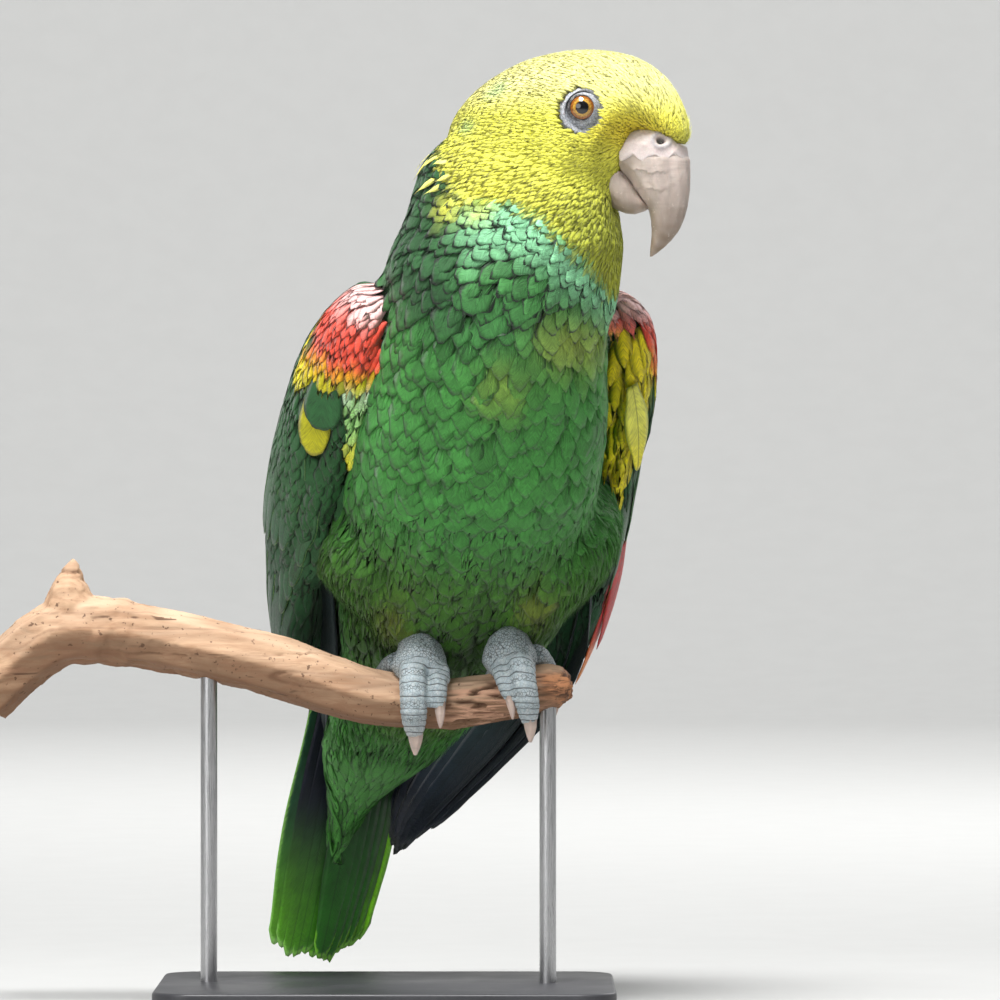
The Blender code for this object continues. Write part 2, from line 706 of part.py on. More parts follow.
# ---- Stand ----------------------------------------------------------------
def rod_mesh(name, side, bottom, top, radius):
    shape = bmesh.new()
    bmesh.ops.create_cone(shape, cap_ends=True, segments=16, radius1=radius, radius2=radius,
                          depth=top - bottom)
    centre, _ = branch_at(side / MM)
    bmesh.ops.translate(shape, verts=shape.verts, vec=(side, centre.y, (top + bottom) / 2))
    mesh = bpy.data.meshes.new(name)
    shape.to_mesh(mesh)
    shape.free()
    return mesh


def build_stand(group, perch, finishes):
    bpy.ops.mesh.primitive_cube_add(size=1, location=(0, 0, BASE_SIZE.z / 2))
    base = bpy.context.object
    base.name = "stand_base"
    base.data.transform(Matrix.Diagonal((*BASE_SIZE, 1)))
    for holder in list(base.users_collection):
        holder.objects.unlink(base)
    group.objects.link(base)
    base.data.materials.append(finishes["base"])
    shape = bmesh.new()
    shape.from_mesh(base.data)
    upright = [edge for edge in shape.edges
               if abs(edge.verts[0].co.z - edge.verts[1].co.z) > BASE_SIZE.z / 2]
    bmesh.ops.bevel(shape, geom=upright, offset=BASE_CORNER, segments=5, profile=0.5,
                    affect="EDGES", material=-1)
    rim = [edge for edge in shape.edges
           if min(vert.co.z for vert in edge.verts) > BASE_SIZE.z * 0.49
           and edge.calc_face_angle(0) > 1]
    bmesh.ops.bevel(shape, geom=rim, offset=BASE_EDGE, segments=2, profile=0.5,
                    affect="EDGES", material=-1)
    shape.to_mesh(base.data)
    shape.free()
    base.data.shade_smooth()
    base.data.set_sharp_from_angle(angle=math.radians(30))
    for side, place in ROD_SIDE.items():
        centre, radius = branch_at(place / MM)
        bottom = BASE_SIZE.z - ROD_DEPTH_IN_BASE
        top = centre.z - radius + ROD_DEPTH_IN_PERCH
        mesh = rod_mesh("stand_rod_" + side, place, bottom, top, ROD_RADIUS)
        add_object("stand_rod_" + side, mesh, finishes["rod"], group)
        hole = rod_mesh("hole_" + side, place, bottom - GAP, top + GAP, ROD_RADIUS + GAP)
        tool = as_cutter("rod_hole_" + side, hole)
        combine(base, tool)
        combine(perch, tool)


def main():
    parrot = collection("amazon_parrot")
    green = material("green_feathers", (0.06, 0.22, 0.03), 0.6)
    belly = material("belly_feathers", (0.10, 0.28, 0.03), 0.6)
    yellow = material("yellow_feathers", (0.85, 0.70, 0.05), 0.6)
    coral = material("shoulder_feathers", (0.80, 0.12, 0.04), 0.6)
    flight = material("flight_feathers", (0.02, 0.03, 0.05), 0.5)
    tail = material("tail_feathers", (0.07, 0.25, 0.02), 0.5)
    horn = material("bill_horn", (0.62, 0.50, 0.46), 0.4)
    claw = material("claw_horn", (0.50, 0.40, 0.36), 0.4)
    scale = material("foot_skin", (0.42, 0.43, 0.48), 0.6)
    cere = material("cere_skin", (0.70, 0.58, 0.55), 0.5)
    amber = material("eye_iris", (0.45, 0.20, 0.03), 0.1)
    wood = material("bare_wood", (0.35, 0.22, 0.14), 0.7)
    base = material("stand_paint", (0.05, 0.05, 0.055), 0.5)
    steel = material("stand_steel", (0.55, 0.55, 0.56), 0.3, 1.0)

    trunk = build_trunk(parrot, {
        "neck": green, "breast": green, "mantle": green, "belly": belly, "back": green,
        "vent": belly, "rump": green, "tail_coverts": belly})
    trunk_tool = build_trunk_cutter()
    head = build_head(parrot, yellow)
    for tool in build_bill(parrot, head, {"cere": cere, "bill_upper": horn, "bill_lower": horn}):
        combine(trunk["neck"], tool)
    build_eyes(parrot, head, amber)
    strips = build_tail(parrot, tail, trunk["tail_coverts"])
    wings = build_wings(parrot, trunk_tool, strips, {
        "shoulder": coral, "coverts": green, "secondaries": green, "primaries": flight})
    perch = build_perch(parrot, wood)
    perch_tool = cutter_from(perch, "perch")
    for side in SIDES:
        build_leg(side, parrot, wings[side], trunk_tool, perch_tool,
                  {"thigh": belly, "foot": scale, "toe": scale, "claw": claw})
    build_stand(parrot, perch, {"base": base, "rod": steel})


clear_scene()
CUTTERS = collection("cutters")
main()
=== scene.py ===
"""Finish of the yellow-headed amazon display model: skin, plumage, horn, eyes, perch and stage.

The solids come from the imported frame. One skin replaces the solids of flesh, and every feather
is a closed vane that starts on that skin and follows the lie of the plumage.
"""
import math

import bmesh
import bpy
import numpy as np
from bpy.props import FloatProperty, FloatVectorProperty, IntProperty, PointerProperty
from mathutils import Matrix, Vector, kdtree, noise
from mathutils.bvhtree import BVHTree


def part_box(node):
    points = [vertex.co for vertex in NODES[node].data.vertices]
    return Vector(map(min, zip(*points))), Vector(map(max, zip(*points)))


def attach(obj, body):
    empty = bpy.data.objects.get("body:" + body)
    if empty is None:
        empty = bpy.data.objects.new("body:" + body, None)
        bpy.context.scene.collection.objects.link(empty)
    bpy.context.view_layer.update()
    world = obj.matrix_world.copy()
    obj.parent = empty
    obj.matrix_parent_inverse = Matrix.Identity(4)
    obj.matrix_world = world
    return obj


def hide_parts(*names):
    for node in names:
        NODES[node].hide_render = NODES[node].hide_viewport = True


bl_info = {
    "name": "Amazon Parrot Display Model",
    "version": (1, 0, 0),
    "blender": (4, 5, 0),
    "location": "3D View > Sidebar > Parrot",
    "description": "Skin, plumage, horn, perch and stage of a life-size parrot",
    "category": "Object",
}

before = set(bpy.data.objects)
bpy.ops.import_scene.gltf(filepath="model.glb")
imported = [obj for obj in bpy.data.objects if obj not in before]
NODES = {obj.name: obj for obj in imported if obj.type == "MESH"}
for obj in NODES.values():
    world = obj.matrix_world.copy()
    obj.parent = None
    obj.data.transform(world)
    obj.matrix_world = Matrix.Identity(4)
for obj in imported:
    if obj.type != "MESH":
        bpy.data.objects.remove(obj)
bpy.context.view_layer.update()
BODY = "root"
MM = 0.001

# ---- Directions and places, from the frame ----
BODY_YAW = math.radians(20)
BODY_PITCH = math.radians(62)
HEAD_YAW = math.radians(80)
UP = Vector((0, 0, 1))
FACING = Vector((math.sin(BODY_YAW), -math.cos(BODY_YAW), 0))
BODY_UP = math.cos(BODY_PITCH) * FACING + math.sin(BODY_PITCH) * UP
BODY_FRONT = math.sin(BODY_PITCH) * FACING - math.cos(BODY_PITCH) * UP
BODY_RIGHT = FACING.cross(UP)
HEAD_FORWARD = Vector((math.sin(HEAD_YAW), -math.cos(HEAD_YAW), 0))
HEAD_RIGHT = HEAD_FORWARD.cross(UP)
SIDES = {"right": 1, "left": -1}
EYE_FORWARD = 10                   # the eyes' place in front of and above the head's centre
EYE_UP = 10


def middle_of(*nodes):
    """Middle of the box round some solids."""
    low = Vector(map(min, zip(*(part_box(node)[0] for node in nodes))))
    high = Vector(map(max, zip(*(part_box(node)[1] for node in nodes))))
    return (low + high) / 2


EYE_CENTRES = {side: middle_of("eye_" + side) for side in SIDES}
HEAD_CENTRE = ((EYE_CENTRES["right"] + EYE_CENTRES["left"]) / 2
               - (EYE_FORWARD * HEAD_FORWARD + EYE_UP * UP) * MM)
TRUNK_OFFSET = Vector((4.7, -6.4, 5.2)) * MM   # the trunk's axis lies off its box's middle
TRUNK_CENTRE = middle_of("breast", "mantle", "belly", "back") + TRUNK_OFFSET

HEAD_AXES = np.array([HEAD_FORWARD, UP, HEAD_RIGHT])
BODY_AXES = np.array([BODY_UP, BODY_RIGHT, BODY_FRONT])
UPWARD, RIGHTWARD, FRONTWARD = BODY_AXES


def head_mm(points):
    """Forward, up and right of the head's centre, in millimetres."""
    return (np.asarray(points) - np.array(HEAD_CENTRE)) @ HEAD_AXES.T / MM


def body_mm(points):
    """Up the back, right and out of the breast from the trunk's middle, in millimetres."""
    return (np.asarray(points) - np.array(TRUNK_CENTRE)) @ BODY_AXES.T / MM


def from_body(up, right, front):
    """World places from millimetres in the body's frame: numbers, or a row of them."""
    places = (np.multiply.outer(up, UPWARD) + np.multiply.outer(right, RIGHTWARD)
              + np.multiply.outer(front, FRONTWARD))
    return np.array(TRUNK_CENTRE) + places * MM


FEATHERED = ("head", "neck", "breast", "mantle", "belly", "back", "vent", "rump",
             "tail_coverts", "thigh_left", "thigh_right")
WING_FLESH = ("shoulder", "coverts", "secondaries")
WING_LENGTHS = WING_FLESH + ("primaries",)
TOES = ("outer_front", "inner_front", "outer_rear", "inner_rear")
FLESH = FEATHERED + tuple("wing_%s_%s" % (side, part) for side in SIDES for part in WING_FLESH)
FEET = {side: ("foot_" + side,) + tuple("toe_%s_%s" % (side, toe) for toe in TOES)
        for side in SIDES}
TAIL = ("tail_left", "tail_middle", "tail_right")


# ---- Sizes and colours that a user would change ----
def colour(name, description, value):
    return FloatVectorProperty(name=name, description=description, default=value,
                               subtype="COLOR", size=3, min=0, max=1)


def length(name, description, value):
    return FloatProperty(name=name, description=description, default=value * MM,
                         unit="LENGTH", subtype="DISTANCE", min=0, precision=5)


def power(name, description, value):
    return FloatProperty(name=name, description=description, default=value, unit="POWER", min=0)


class PARROT_PG_sizes(bpy.types.PropertyGroup):
    """Sizes of the skin and of the feathers."""

    body_voxel: length("Skin mesh", "Width of the body skin's faces", 1.7)
    foot_voxel: length("Foot mesh", "Width of the feet's faces", 0.66)
    horn_voxel: length("Horn mesh", "Width of the bill's faces", 0.42)
    coat_depth: length("Coat depth", "How far the skin lies inside the feathers", 3.2)
    head_depth: length("Head coat depth", "The same on the head", 1.1)
    head_tuft: length("Head feather", "Length of the crown's feathers", 6.5)
    body_feather: length("Body feather", "Length of the breast's and back's feathers", 17)
    belly_tuft: length("Belly feather", "Length of the belly's soft feathers", 13)
    covert: length("Covert", "Length of the wing's small coverts", 12)


class PARROT_PG_colours(bpy.types.PropertyGroup):
    """Colours of the plumage, the bare parts, the perch and the stage."""

    # Painted highlight: the crown's yellow is paler, near white, for the strong top light on it.
    crown: colour("Crown", "Pale yellow of the crown", (1.0, 0.95, 0.36))
    lores: colour("Lores", "Golden yellow before the eyes", (0.88, 0.66, 0.04))
    cheek: colour("Cheek", "Yellow of the cheeks", (0.82, 0.80, 0.10))
    # Painted shade: the chin's yellow is a darker olive, for the shade under the head.
    chin: colour("Chin", "Olive yellow of the chin", (0.34, 0.38, 0.04))
    turquoise: colour("Turquoise", "Pale scaly feathers of the neck", (0.26, 0.62, 0.34))
    neck: colour("Neck", "Green of the neck", (0.06, 0.24, 0.06))
    nape: colour("Nape", "Dark green of the nape", (0.025, 0.10, 0.03))
    breast: colour("Breast", "Green of the breast", (0.055, 0.26, 0.045))
    belly: colour("Belly", "Olive green of the belly", (0.045, 0.15, 0.012))
    thigh: colour("Thigh", "Yellower green of the thighs", (0.10, 0.24, 0.014))
    back: colour("Back", "Green of the mantle and back", (0.045, 0.19, 0.035))
    rump: colour("Rump", "Brighter green of the rump", (0.08, 0.33, 0.05))
    fringe: colour("Fringe", "Dusky feather edges", (0.006, 0.022, 0.008))
    coral: colour("Coral", "Red of the wing's bend", (0.92, 0.09, 0.05))
    # Painted highlight: pale pink where the top light falls on the red bend of the wing.
    highlight_pink: colour("Blush", "Pink at the top of the wing's bend", (1.0, 0.60, 0.57))
    orange: colour("Orange", "Orange below the red", (0.98, 0.33, 0.015))
    sun: colour("Sun", "Yellow of the wing's bend", (0.90, 0.78, 0.012))
    badge: colour("Badge", "Olive yellow under the round covert", (0.46, 0.44, 0.012))
    covert: colour("Covert", "Dark green wing coverts", (0.022, 0.105, 0.028))
    pale: colour("Pale", "Pale green along the wing's front", (0.45, 0.85, 0.28))
    flight: colour("Flight", "Dark green of the secondaries", (0.014, 0.075, 0.026))
    navy: colour("Navy", "Blue-black of the primaries", (0.006, 0.009, 0.024))
    lemon: colour("Lemon", "Broad pale feather of the left wing", (0.80, 0.80, 0.10))
    crimson: colour("Crimson", "Red patch of the secondaries", (0.50, 0.012, 0.012))
    tail: colour("Tail", "Green of the tail", (0.02, 0.19, 0.006))
    tail_end: colour("Tail end", "Yellow-green end of the tail", (0.22, 0.68, 0.012))
    orbit: colour("Orbit", "Bare skin round the eyes", (0.44, 0.46, 0.50))
    foot: colour("Foot", "Grey of the feet", (0.36, 0.43, 0.46))
    foot_pink: colour("Foot pink", "Pinker skin towards the claws", (0.60, 0.52, 0.47))
    cere: colour("Cere", "Bare skin above the bill", (0.66, 0.55, 0.52))
    horn: colour("Horn", "Bone colour of the bill", (0.56, 0.47, 0.42))
    horn_dark: colour("Dark horn", "Browner horn near the tip", (0.22, 0.155, 0.10))
    wood: colour("Wood", "Bare wood", (0.45, 0.29, 0.18))
    wood_dark: colour("Dark wood", "Cracks and knots in the wood", (0.10, 0.05, 0.03))
    paint: colour("Paint", "Paint of the stand's base", (0.045, 0.045, 0.05))
    floor: colour("Floor", "Floor of the stage", (0.52, 0.52, 0.51))


class PARROT_PG_stage(bpy.types.PropertyGroup):
    """Camera and lights."""

    camera_distance: FloatProperty(name="Camera distance", description="From the perch",
                                   default=2.5, unit="LENGTH", min=0.5)
    field: FloatProperty(name="Field", description="Width seen at the perch",
                         default=0.3571, unit="LENGTH", min=0.1)
    aim_side: length("Aim side", "Camera's place along the branch", 40.8)
    aim_height: length("Aim height", "Camera's height over the floor", 181.8)
    key_power: power("Key light", "Power of the top light", 46)
    fill_power: power("Fill light", "Power of the front light and of the rear light", 10)
    wall_power: power("Wall light", "Power of the light behind the bird", 110)
    seed: IntProperty(name="Seed", description="Start of the random draws", default=7)


GROUPS = {"parrot_sizes": PARROT_PG_sizes, "parrot_colours": PARROT_PG_colours,
          "parrot_stage": PARROT_PG_stage}


def sizes():
    return bpy.context.scene.parrot_sizes


def tone(name):
    return np.array(getattr(bpy.context.scene.parrot_colours, name))


def random_draws(offset):
    return np.random.default_rng(bpy.context.scene.parrot_stage.seed + offset)


# ---- Small sums ----
def unit(vectors):
    return vectors / np.maximum(np.linalg.norm(vectors, axis=-1, keepdims=True), 1e-12)


def clamp(values):
    return np.clip(values, 0, 1)


def step(values, low, high):
    """Smooth rise from 0 at low to 1 at high."""
    part = clamp((np.asarray(values, float) - low) / (high - low))
    return part * part * (3 - 2 * part)


def blend(first, second, share):
    """Mixes two colours (or names, or rows of them) by one share or a row of shares."""
    first, second = (tone(item) if isinstance(item, str) else item for item in (first, second))
    share = np.asarray(share)[..., None]
    return first * (1 - share) + second * share


def spot(across, along):
    """A soft round patch: 1 at its middle, and near 0 two radii away."""
    return np.exp(-across ** 2 - along ** 2)


def ripple(points, scale, seed=0.0):
    """Smooth noise from -1 to 1 at each point; scale is the ripples' size in millimetres."""
    shift = Vector((seed * 13.7, seed * 7.1, seed * 3.3))
    return np.array([noise.noise(Vector(point) / (scale * MM) + shift) for point in points])


def flat_part(vectors, normals):
    """The part of each vector that lies in the surface."""
    return vectors - normals * np.sum(vectors * normals, axis=-1, keepdims=True)


# ---- Mesh tools ----
def read(items, name, width=1, kind=float):
    """One property of all vertices, faces or corners, as an array."""
    values = np.empty(len(items) * width, kind)
    items.foreach_get(name, values)
    return values.reshape(-1, width) if width > 1 else values


def coordinates(mesh):
    return read(mesh.vertices, "co", 3)


def vertex_normals(mesh):
    return read(mesh.vertex_normals, "vector", 3)


def move_vertices(mesh, places):
    mesh.vertices.foreach_set("co", np.asarray(places, float).ravel())
    mesh.update()


def set_attributes(mesh, **layers):
    """Numbers, or rows of red, green and blue, one for each vertex."""
    for name, values in layers.items():
        if values.ndim == 2:
            values = np.column_stack([clamp(values), np.ones(len(values))])
            layer, key = mesh.attributes.new(name, "FLOAT_COLOR", "POINT"), "color"
        else:
            layer, key = mesh.attributes.new(name, "FLOAT", "POINT"), "value"
        layer.data.foreach_set(key, values.astype(np.float32).ravel())


def mesh_from(shape, name):
    """Turns a bmesh into a mesh."""
    mesh = bpy.data.meshes.new(name)
    shape.to_mesh(mesh)
    shape.free()
    return mesh


def smooth(shape, rounds):
    for _ in range(rounds):
        bmesh.ops.smooth_vert(shape, verts=shape.verts, factor=0.5, use_axis_x=True,
                              use_axis_y=True, use_axis_z=True)


def turned(shape, outline, steps):
    """Spins an outline of points into a surface round the upright axis."""
    verts = [shape.verts.new(place) for place in outline]
    for first, second in zip(verts, verts[1:]):
        shape.edges.new((first, second))
    bmesh.ops.spin(shape, geom=shape.verts[:] + shape.edges[:], cent=(0, 0, 0), axis=UP,
                   steps=steps, angle=math.tau, use_merge=True)


def point_tree(points):
    tree = kdtree.KDTree(len(points))
    for index, point in enumerate(points):
        tree.insert(point, index)
    tree.balance()
    return tree


def add_to_scene(name, data):
    item = bpy.data.objects.new(name, data)
    bpy.context.scene.collection.objects.link(item)
    return item


def add_piece(name, mesh, material, slot, *replaced, sharp=None):
    """Every piece rides on the one body and hides the solids it stands for. slot is not used."""
    mesh.materials.append(material)
    mesh.shade_smooth()
    if sharp is not None:
        mesh.set_sharp_from_angle(angle=sharp)
    piece = add_to_scene(name, mesh)
    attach(piece, BODY)
    if replaced:
        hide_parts(*replaced)


def merged_solids(names, swell):
    """One bmesh of some solids, each merged and moved out along its normals."""
    shape = bmesh.new()
    for name in names:
        first = len(shape.verts)
        shape.from_mesh(NODES[name].data)
        shape.verts.ensure_lookup_table()
        bmesh.ops.remove_doubles(shape, verts=shape.verts[first:], dist=0.02 * MM)
        shape.verts.ensure_lookup_table()
        shape.normal_update()
        share = swell(name) if callable(swell) else swell
        for vert in shape.verts[first:]:
            vert.co += vert.normal * share
    return shape


def fused(names, voxel, swell, smoothings):
    """The solids as one closed mesh of even faces, smoothed."""
    mesh = mesh_from(merged_solids(names, swell), "fused")
    holder = add_to_scene("fused", mesh)
    remesh = holder.modifiers.new("even", "REMESH")
    remesh.mode = "VOXEL"
    remesh.voxel_size = voxel
    graph = bpy.context.evaluated_depsgraph_get()
    fine = bpy.data.meshes.new_from_object(holder.evaluated_get(graph))
    bpy.data.objects.remove(holder)
    bpy.data.meshes.remove(mesh)
    shape = bmesh.new()
    shape.from_mesh(fine)
    smooth(shape, smoothings)
    shape.to_mesh(fine)
    shape.free()
    return fine


class Surface:
    """A mesh that feathers are laid on: nearest points, smooth normals and random roots."""

    def __init__(self, mesh):
        self.places = coordinates(mesh)
        self.normals = vertex_normals(mesh)
        corners = read(mesh.loops, "vertex_index", kind=int)
        starts = read(mesh.polygons, "loop_start", kind=int)
        totals = read(mesh.polygons, "loop_total", kind=int)
        first = np.column_stack([starts, starts + 1, starts + 2])
        quads = starts[totals == 4]
        second = np.column_stack([quads, quads + 2, quads + 3])
        self.triangles = corners[np.vstack([first, second])]
        self.tree = BVHTree.FromPolygons(self.places.tolist(), self.triangles.tolist())
        self.face_normals = unit(self.normals[self.triangles].mean(axis=1))
        a, b, c = (self.places[self.triangles[:, index]] for index in range(3))
        self.areas = np.linalg.norm(np.cross(b - a, c - a), axis=1) / 2
        self.centres = (a + b + c) / 3

    def nearest(self, points):
        """Nearest places on the surface, their smooth normals and their triangles."""
        places = np.empty((len(points), 3))
        faces = np.empty(len(points), int)
        for index, point in enumerate(points):
            place, _, face, _ = self.tree.find_nearest(point)
            places[index] = place
            faces[index] = face
        return places, self.face_normals[faces], faces

    def scatter(self, wanted, spacing, draws):
        """Even random roots: wanted is a mask of triangles, spacing one size for each."""
        chosen = np.flatnonzero(wanted)
        gaps = np.broadcast_to(spacing, len(self.areas))[chosen]
        weights = self.areas[chosen] / gaps ** 2
        count = int(weights.sum() * 7)
        picked = chosen[draws.choice(len(chosen), count, p=weights / weights.sum())]
        share = draws.random((count, 2))
        share = np.where(share.sum(axis=1, keepdims=True) > 1, 1 - share, share)
        a, b, c = (self.places[self.triangles[picked, index]] for index in range(3))
        points = a + (b - a) * share[:, :1] + (c - a) * share[:, 1:]
        gap = np.broadcast_to(spacing, len(self.areas))[picked]
        tree = point_tree(points)
        free = np.ones(count, bool)
        kept = []
        for index in range(count):
            if free[index]:
                kept.append(index)
                for _, other, _ in tree.find_range(points[index], gap[index]):
                    free[other] = False
        return points[kept], gap[kept]


def neighbours(grid, **filling):
    """The four neighbours of each cell of a grid."""
    padded = np.pad(grid, 1, **filling)
    return np.stack([padded[:-2, 1:-1], padded[2:, 1:-1], padded[1:-1, :-2], padded[1:-1, 2:]])


class Relief:
    """How far a wing's solids stand out to one side, over a grid up the body and out in front.

    sign is 1 for their right side and -1 for their left; all sizes are in millimetres.
    """

    def __init__(self, names, sign, cell=2.0):
        shape = merged_solids(names, 0.0)
        tree = BVHTree.FromBMesh(shape)
        places = body_mm([vert.co for vert in shape.verts])
        shape.free()
        low, high = places.min(axis=0) - cell, places.max(axis=0) + cell
        self.cell = cell
        self.ups, self.fronts = (np.arange(low[axis], high[axis], cell) for axis in (0, 2))
        outward = sign * BODY_RIGHT
        self.outward = np.array(outward)
        reach = float(np.abs(places[:, 1]).max()) + 20
        heights = np.full((len(self.ups), len(self.fronts)), np.nan)
        for i, up in enumerate(self.ups.tolist()):
            for j, front in enumerate(self.fronts.tolist()):
                start = TRUNK_CENTRE + (up * BODY_UP + front * BODY_FRONT + reach * outward) * MM
                hit = tree.ray_cast(start, -outward)[0]
                if hit is not None:
                    heights[i, j] = (hit - TRUNK_CENTRE).dot(outward) / MM
        covered = ~np.isnan(heights)
        rows = covered.any(axis=1)
        first = covered[rows].argmax(axis=1)
        last = len(self.fronts) - 1 - covered[rows, ::-1].argmax(axis=1)
        self.covered_ups = self.ups[rows]
        self.edges = [np.convolve(np.pad(self.fronts[edge], 2, mode="edge"), np.ones(5) / 5,
                                  "valid") for edge in (last, first)]
        self.heights = self.filled(heights)

    def filled(self, heights):
        """Empty cells take their neighbours' mean, ring by ring; then all is smoothed."""
        while np.isnan(heights).any():
            near = neighbours(heights, constant_values=np.nan)
            count = (~np.isnan(near)).sum(axis=0)
            fill = np.isnan(heights) & (count > 0)
            heights[fill] = np.nansum(near, axis=0)[fill] / count[fill]
        for _ in range(3):
            heights = (neighbours(heights, mode="edge").sum(axis=0) + 4 * heights) / 8
        return heights

    def across(self, up, share):
        """Place out in front at a share of the wing's width: 0 its front edge, 1 its rear."""
        near, far = (np.interp(up, self.covered_ups, edge) for edge in self.edges)
        return near + (far - near) * share

    def height(self, up, front):
        """How far the solids stand out, between the grid's cells too."""
        i = np.clip((up - self.ups[0]) / self.cell, 0, len(self.ups) - 1.001)
        j = np.clip((front - self.fronts[0]) / self.cell, 0, len(self.fronts) - 1.001)
        row, column = i.astype(int), j.astype(int)
        s, t = i - row, j - column
        h = self.heights
        return ((h[row, column] * (1 - t) + h[row, column + 1] * t) * (1 - s)
                + (h[row + 1, column] * (1 - t) + h[row + 1, column + 1] * t) * s)

    def place(self, up, front, lift):
        """World places and outward normals, lifted off the solids."""
        bend = self.cell
        slope_up = (self.height(up + bend, front) - self.height(up - bend, front)) / (2 * bend)
        slope = (self.height(up, front + bend) - self.height(up, front - bend)) / (2 * bend)
        normal = unit(self.outward - slope_up[..., None] * UPWARD
                      - slope[..., None] * FRONTWARD)
        out = self.height(up, front)[..., None] * self.outward
        return from_body(up, 0 * up, front) + (out + normal * lift[..., None]) * MM, normal


# ---- Shared surfaces ----
SHARED = {}
JOIN_SWELL = 0.35 * MM             # closes the thin cuts between the solids


def node_finder():
    """Nearest solid to a point: the surface tree and the node of each of its faces."""
    if "finder" not in SHARED:
        names = FLESH + tuple("wing_%s_primaries" % side for side in SIDES)
        places, faces, owners = [], [], []
        for index, name in enumerate(names):
            mesh = NODES[name].data
            first = len(places)
            places.extend(coordinates(mesh).tolist())
            faces.extend([[first + v for v in face.vertices] for face in mesh.polygons])
            owners.extend([index] * len(mesh.polygons))
        SHARED["finder"] = (BVHTree.FromPolygons(places, faces), np.array(owners), names)
    return SHARED["finder"]


def envelope():
    """The outer form of the feathered body, as one smooth closed surface."""
    if "envelope" not in SHARED:
        mesh = fused(FLESH + ("eye_left", "eye_right"), sizes().body_voxel, JOIN_SWELL, 6)
        points = coordinates(mesh)
        ahead, over, _ = head_mm(points).T
        points[:, 2] += CROWN_RISE * MM * step(over, 9, 25) * step(ahead, -50, -28)
        high, right, front = body_mm(points).T
        thin = step(-high, 138, 184)
        points -= MM * (np.outer(0.62 * thin * (right - TAIL_MIDDLE), BODY_RIGHT)
                        + np.outer(0.45 * thin * (front - TAIL_DEPTH), BODY_FRONT))
        move_vertices(mesh, points)
        surface = Surface(mesh)
        tree, owners, names = node_finder()
        near = [tree.find_nearest(place)[2] for place in surface.centres]
        surface.owner = np.array(names)[owners[near]]
        surface.on_wing = np.char.startswith(surface.owner, "wing")
        SHARED["envelope"] = (mesh, surface)
    return SHARED["envelope"]


def bake_place(points):
    """Each place on the skin's own unwrap: three charts, round the head, trunk and wings."""
    high, right, front = body_mm(points).T
    turn = np.arctan2(right, front + 10) / math.tau + 0.5
    rise = clamp((high + 215) / 380)
    wing = np.abs(right) > 46
    on_wing = 0.66 + 0.16 * (right > 0) + np.clip((front + 70) / 500, 0, 0.15)
    across = np.where(wing, on_wing, turn * 0.64)
    return np.column_stack([0.01 + 0.97 * across, 0.01 + 0.97 * rise])


# ---- The lie of the plumage ----
TAIL_MIDDLE = 13                   # out to the right of the trunk's middle, at the coverts' end
TAIL_DEPTH = -45.5                 # out of the breast, from the trunk's middle
CROWN_RISE = 0.6                   # how far the crown's feathers stand over the head's solid
BILL_ROOT = (33, -4)               # forward and up of the point that head feathers leave


def flow(points):
    """Direction in which feathers lie at each point: away from the bill, then down the body."""
    high, right, _ = body_mm(points).T
    source = HEAD_CENTRE + (BILL_ROOT[0] * HEAD_FORWARD + BILL_ROOT[1] * UP) * MM
    away = unit(points - np.array(source))
    away = unit(away - 0.25 * np.array(HEAD_FORWARD) - 0.15 * np.array(UP))
    share = 1 - step(high, 62, 96)
    mixed = blend(away, -UPWARD, share)
    wing = step(np.abs(right), 42, 48) * step(high, 20, 50) * share
    spread = np.sign(right)[:, None] * RIGHTWARD
    return unit(mixed + wing[:, None] * (0.35 * spread + 0.15 * FRONTWARD))


# ---- Markings, shared by the skin and the coat ----
# Lower edge of the yellow hood: forward and up from the head's centre.
HOOD_FORWARD = (-70, -42, -36, -28, -20, -12, -2, 5, 14, 18.5, 40)
HOOD_UP = (26, 3, -14, -24, -23, -22, -27, -35, -42, -53, -62)
# Stray yellow patches: forward and up from the head's centre, radius and strength.
STRAY_YELLOW = ((-36, -25, 4.5, 0.9), (-24, -27, 4, 0.6), (3, -75, 8, 0.30), (-17, -90, 7, 0.25),
                (12, -74, 7, 0.25))
# Patches on the thighs over the feet: place along the branch and height over the floor.
THIGH_YELLOW = ((2, 136), (53, 141))
THIGH_DEPTH = 12 * MM              # they end this far behind the perch's middle
# Blue-green smudges on the right of the crown: forward, up and radius.
SMUDGES = ((-19.3, 17.8, 2.6), (-22.9, 15.4, 2.2), (-32, 3.8, 2.6))


def hood_height(head):
    """Height over the hood's lower edge; head holds places in the head's frame."""
    return head[:, 1] - np.interp(head[:, 0], HOOD_FORWARD, HOOD_UP)


def head_colours(head, wander):
    """Yellows of the hood: paler on the crown as a painted highlight, golden before the eyes, and
    darker olive on the chin as painted shade under the head.
    """
    ahead, over, aside = head.T
    # Painted highlight: the yellow turns paler towards the crown, and a little on the forehead,
    # where the top light falls.
    pale = step(over, 6, 20) * 0.9 + 0.1 * step(ahead, 20, 40)
    yellow = blend("cheek", "crown", pale)
    gold = spot((ahead - 27) / 12, (over - 2) / 7)
    yellow = blend(yellow, "lores", 0.85 * gold)
    # Painted shade: darker olive on the chin, under the head.
    chin = step(-over, 4, 30) * step(ahead, -16, 16)
    yellow = blend(yellow, "chin", 0.85 * chin)
    for forward, up, radius in SMUDGES:
        near = spot((ahead - forward) / radius, (over - up) / radius)
        yellow = blend(yellow, "turquoise", 0.55 * near * (aside > 0))
    return yellow * (1 + 0.10 * wander)[:, None]


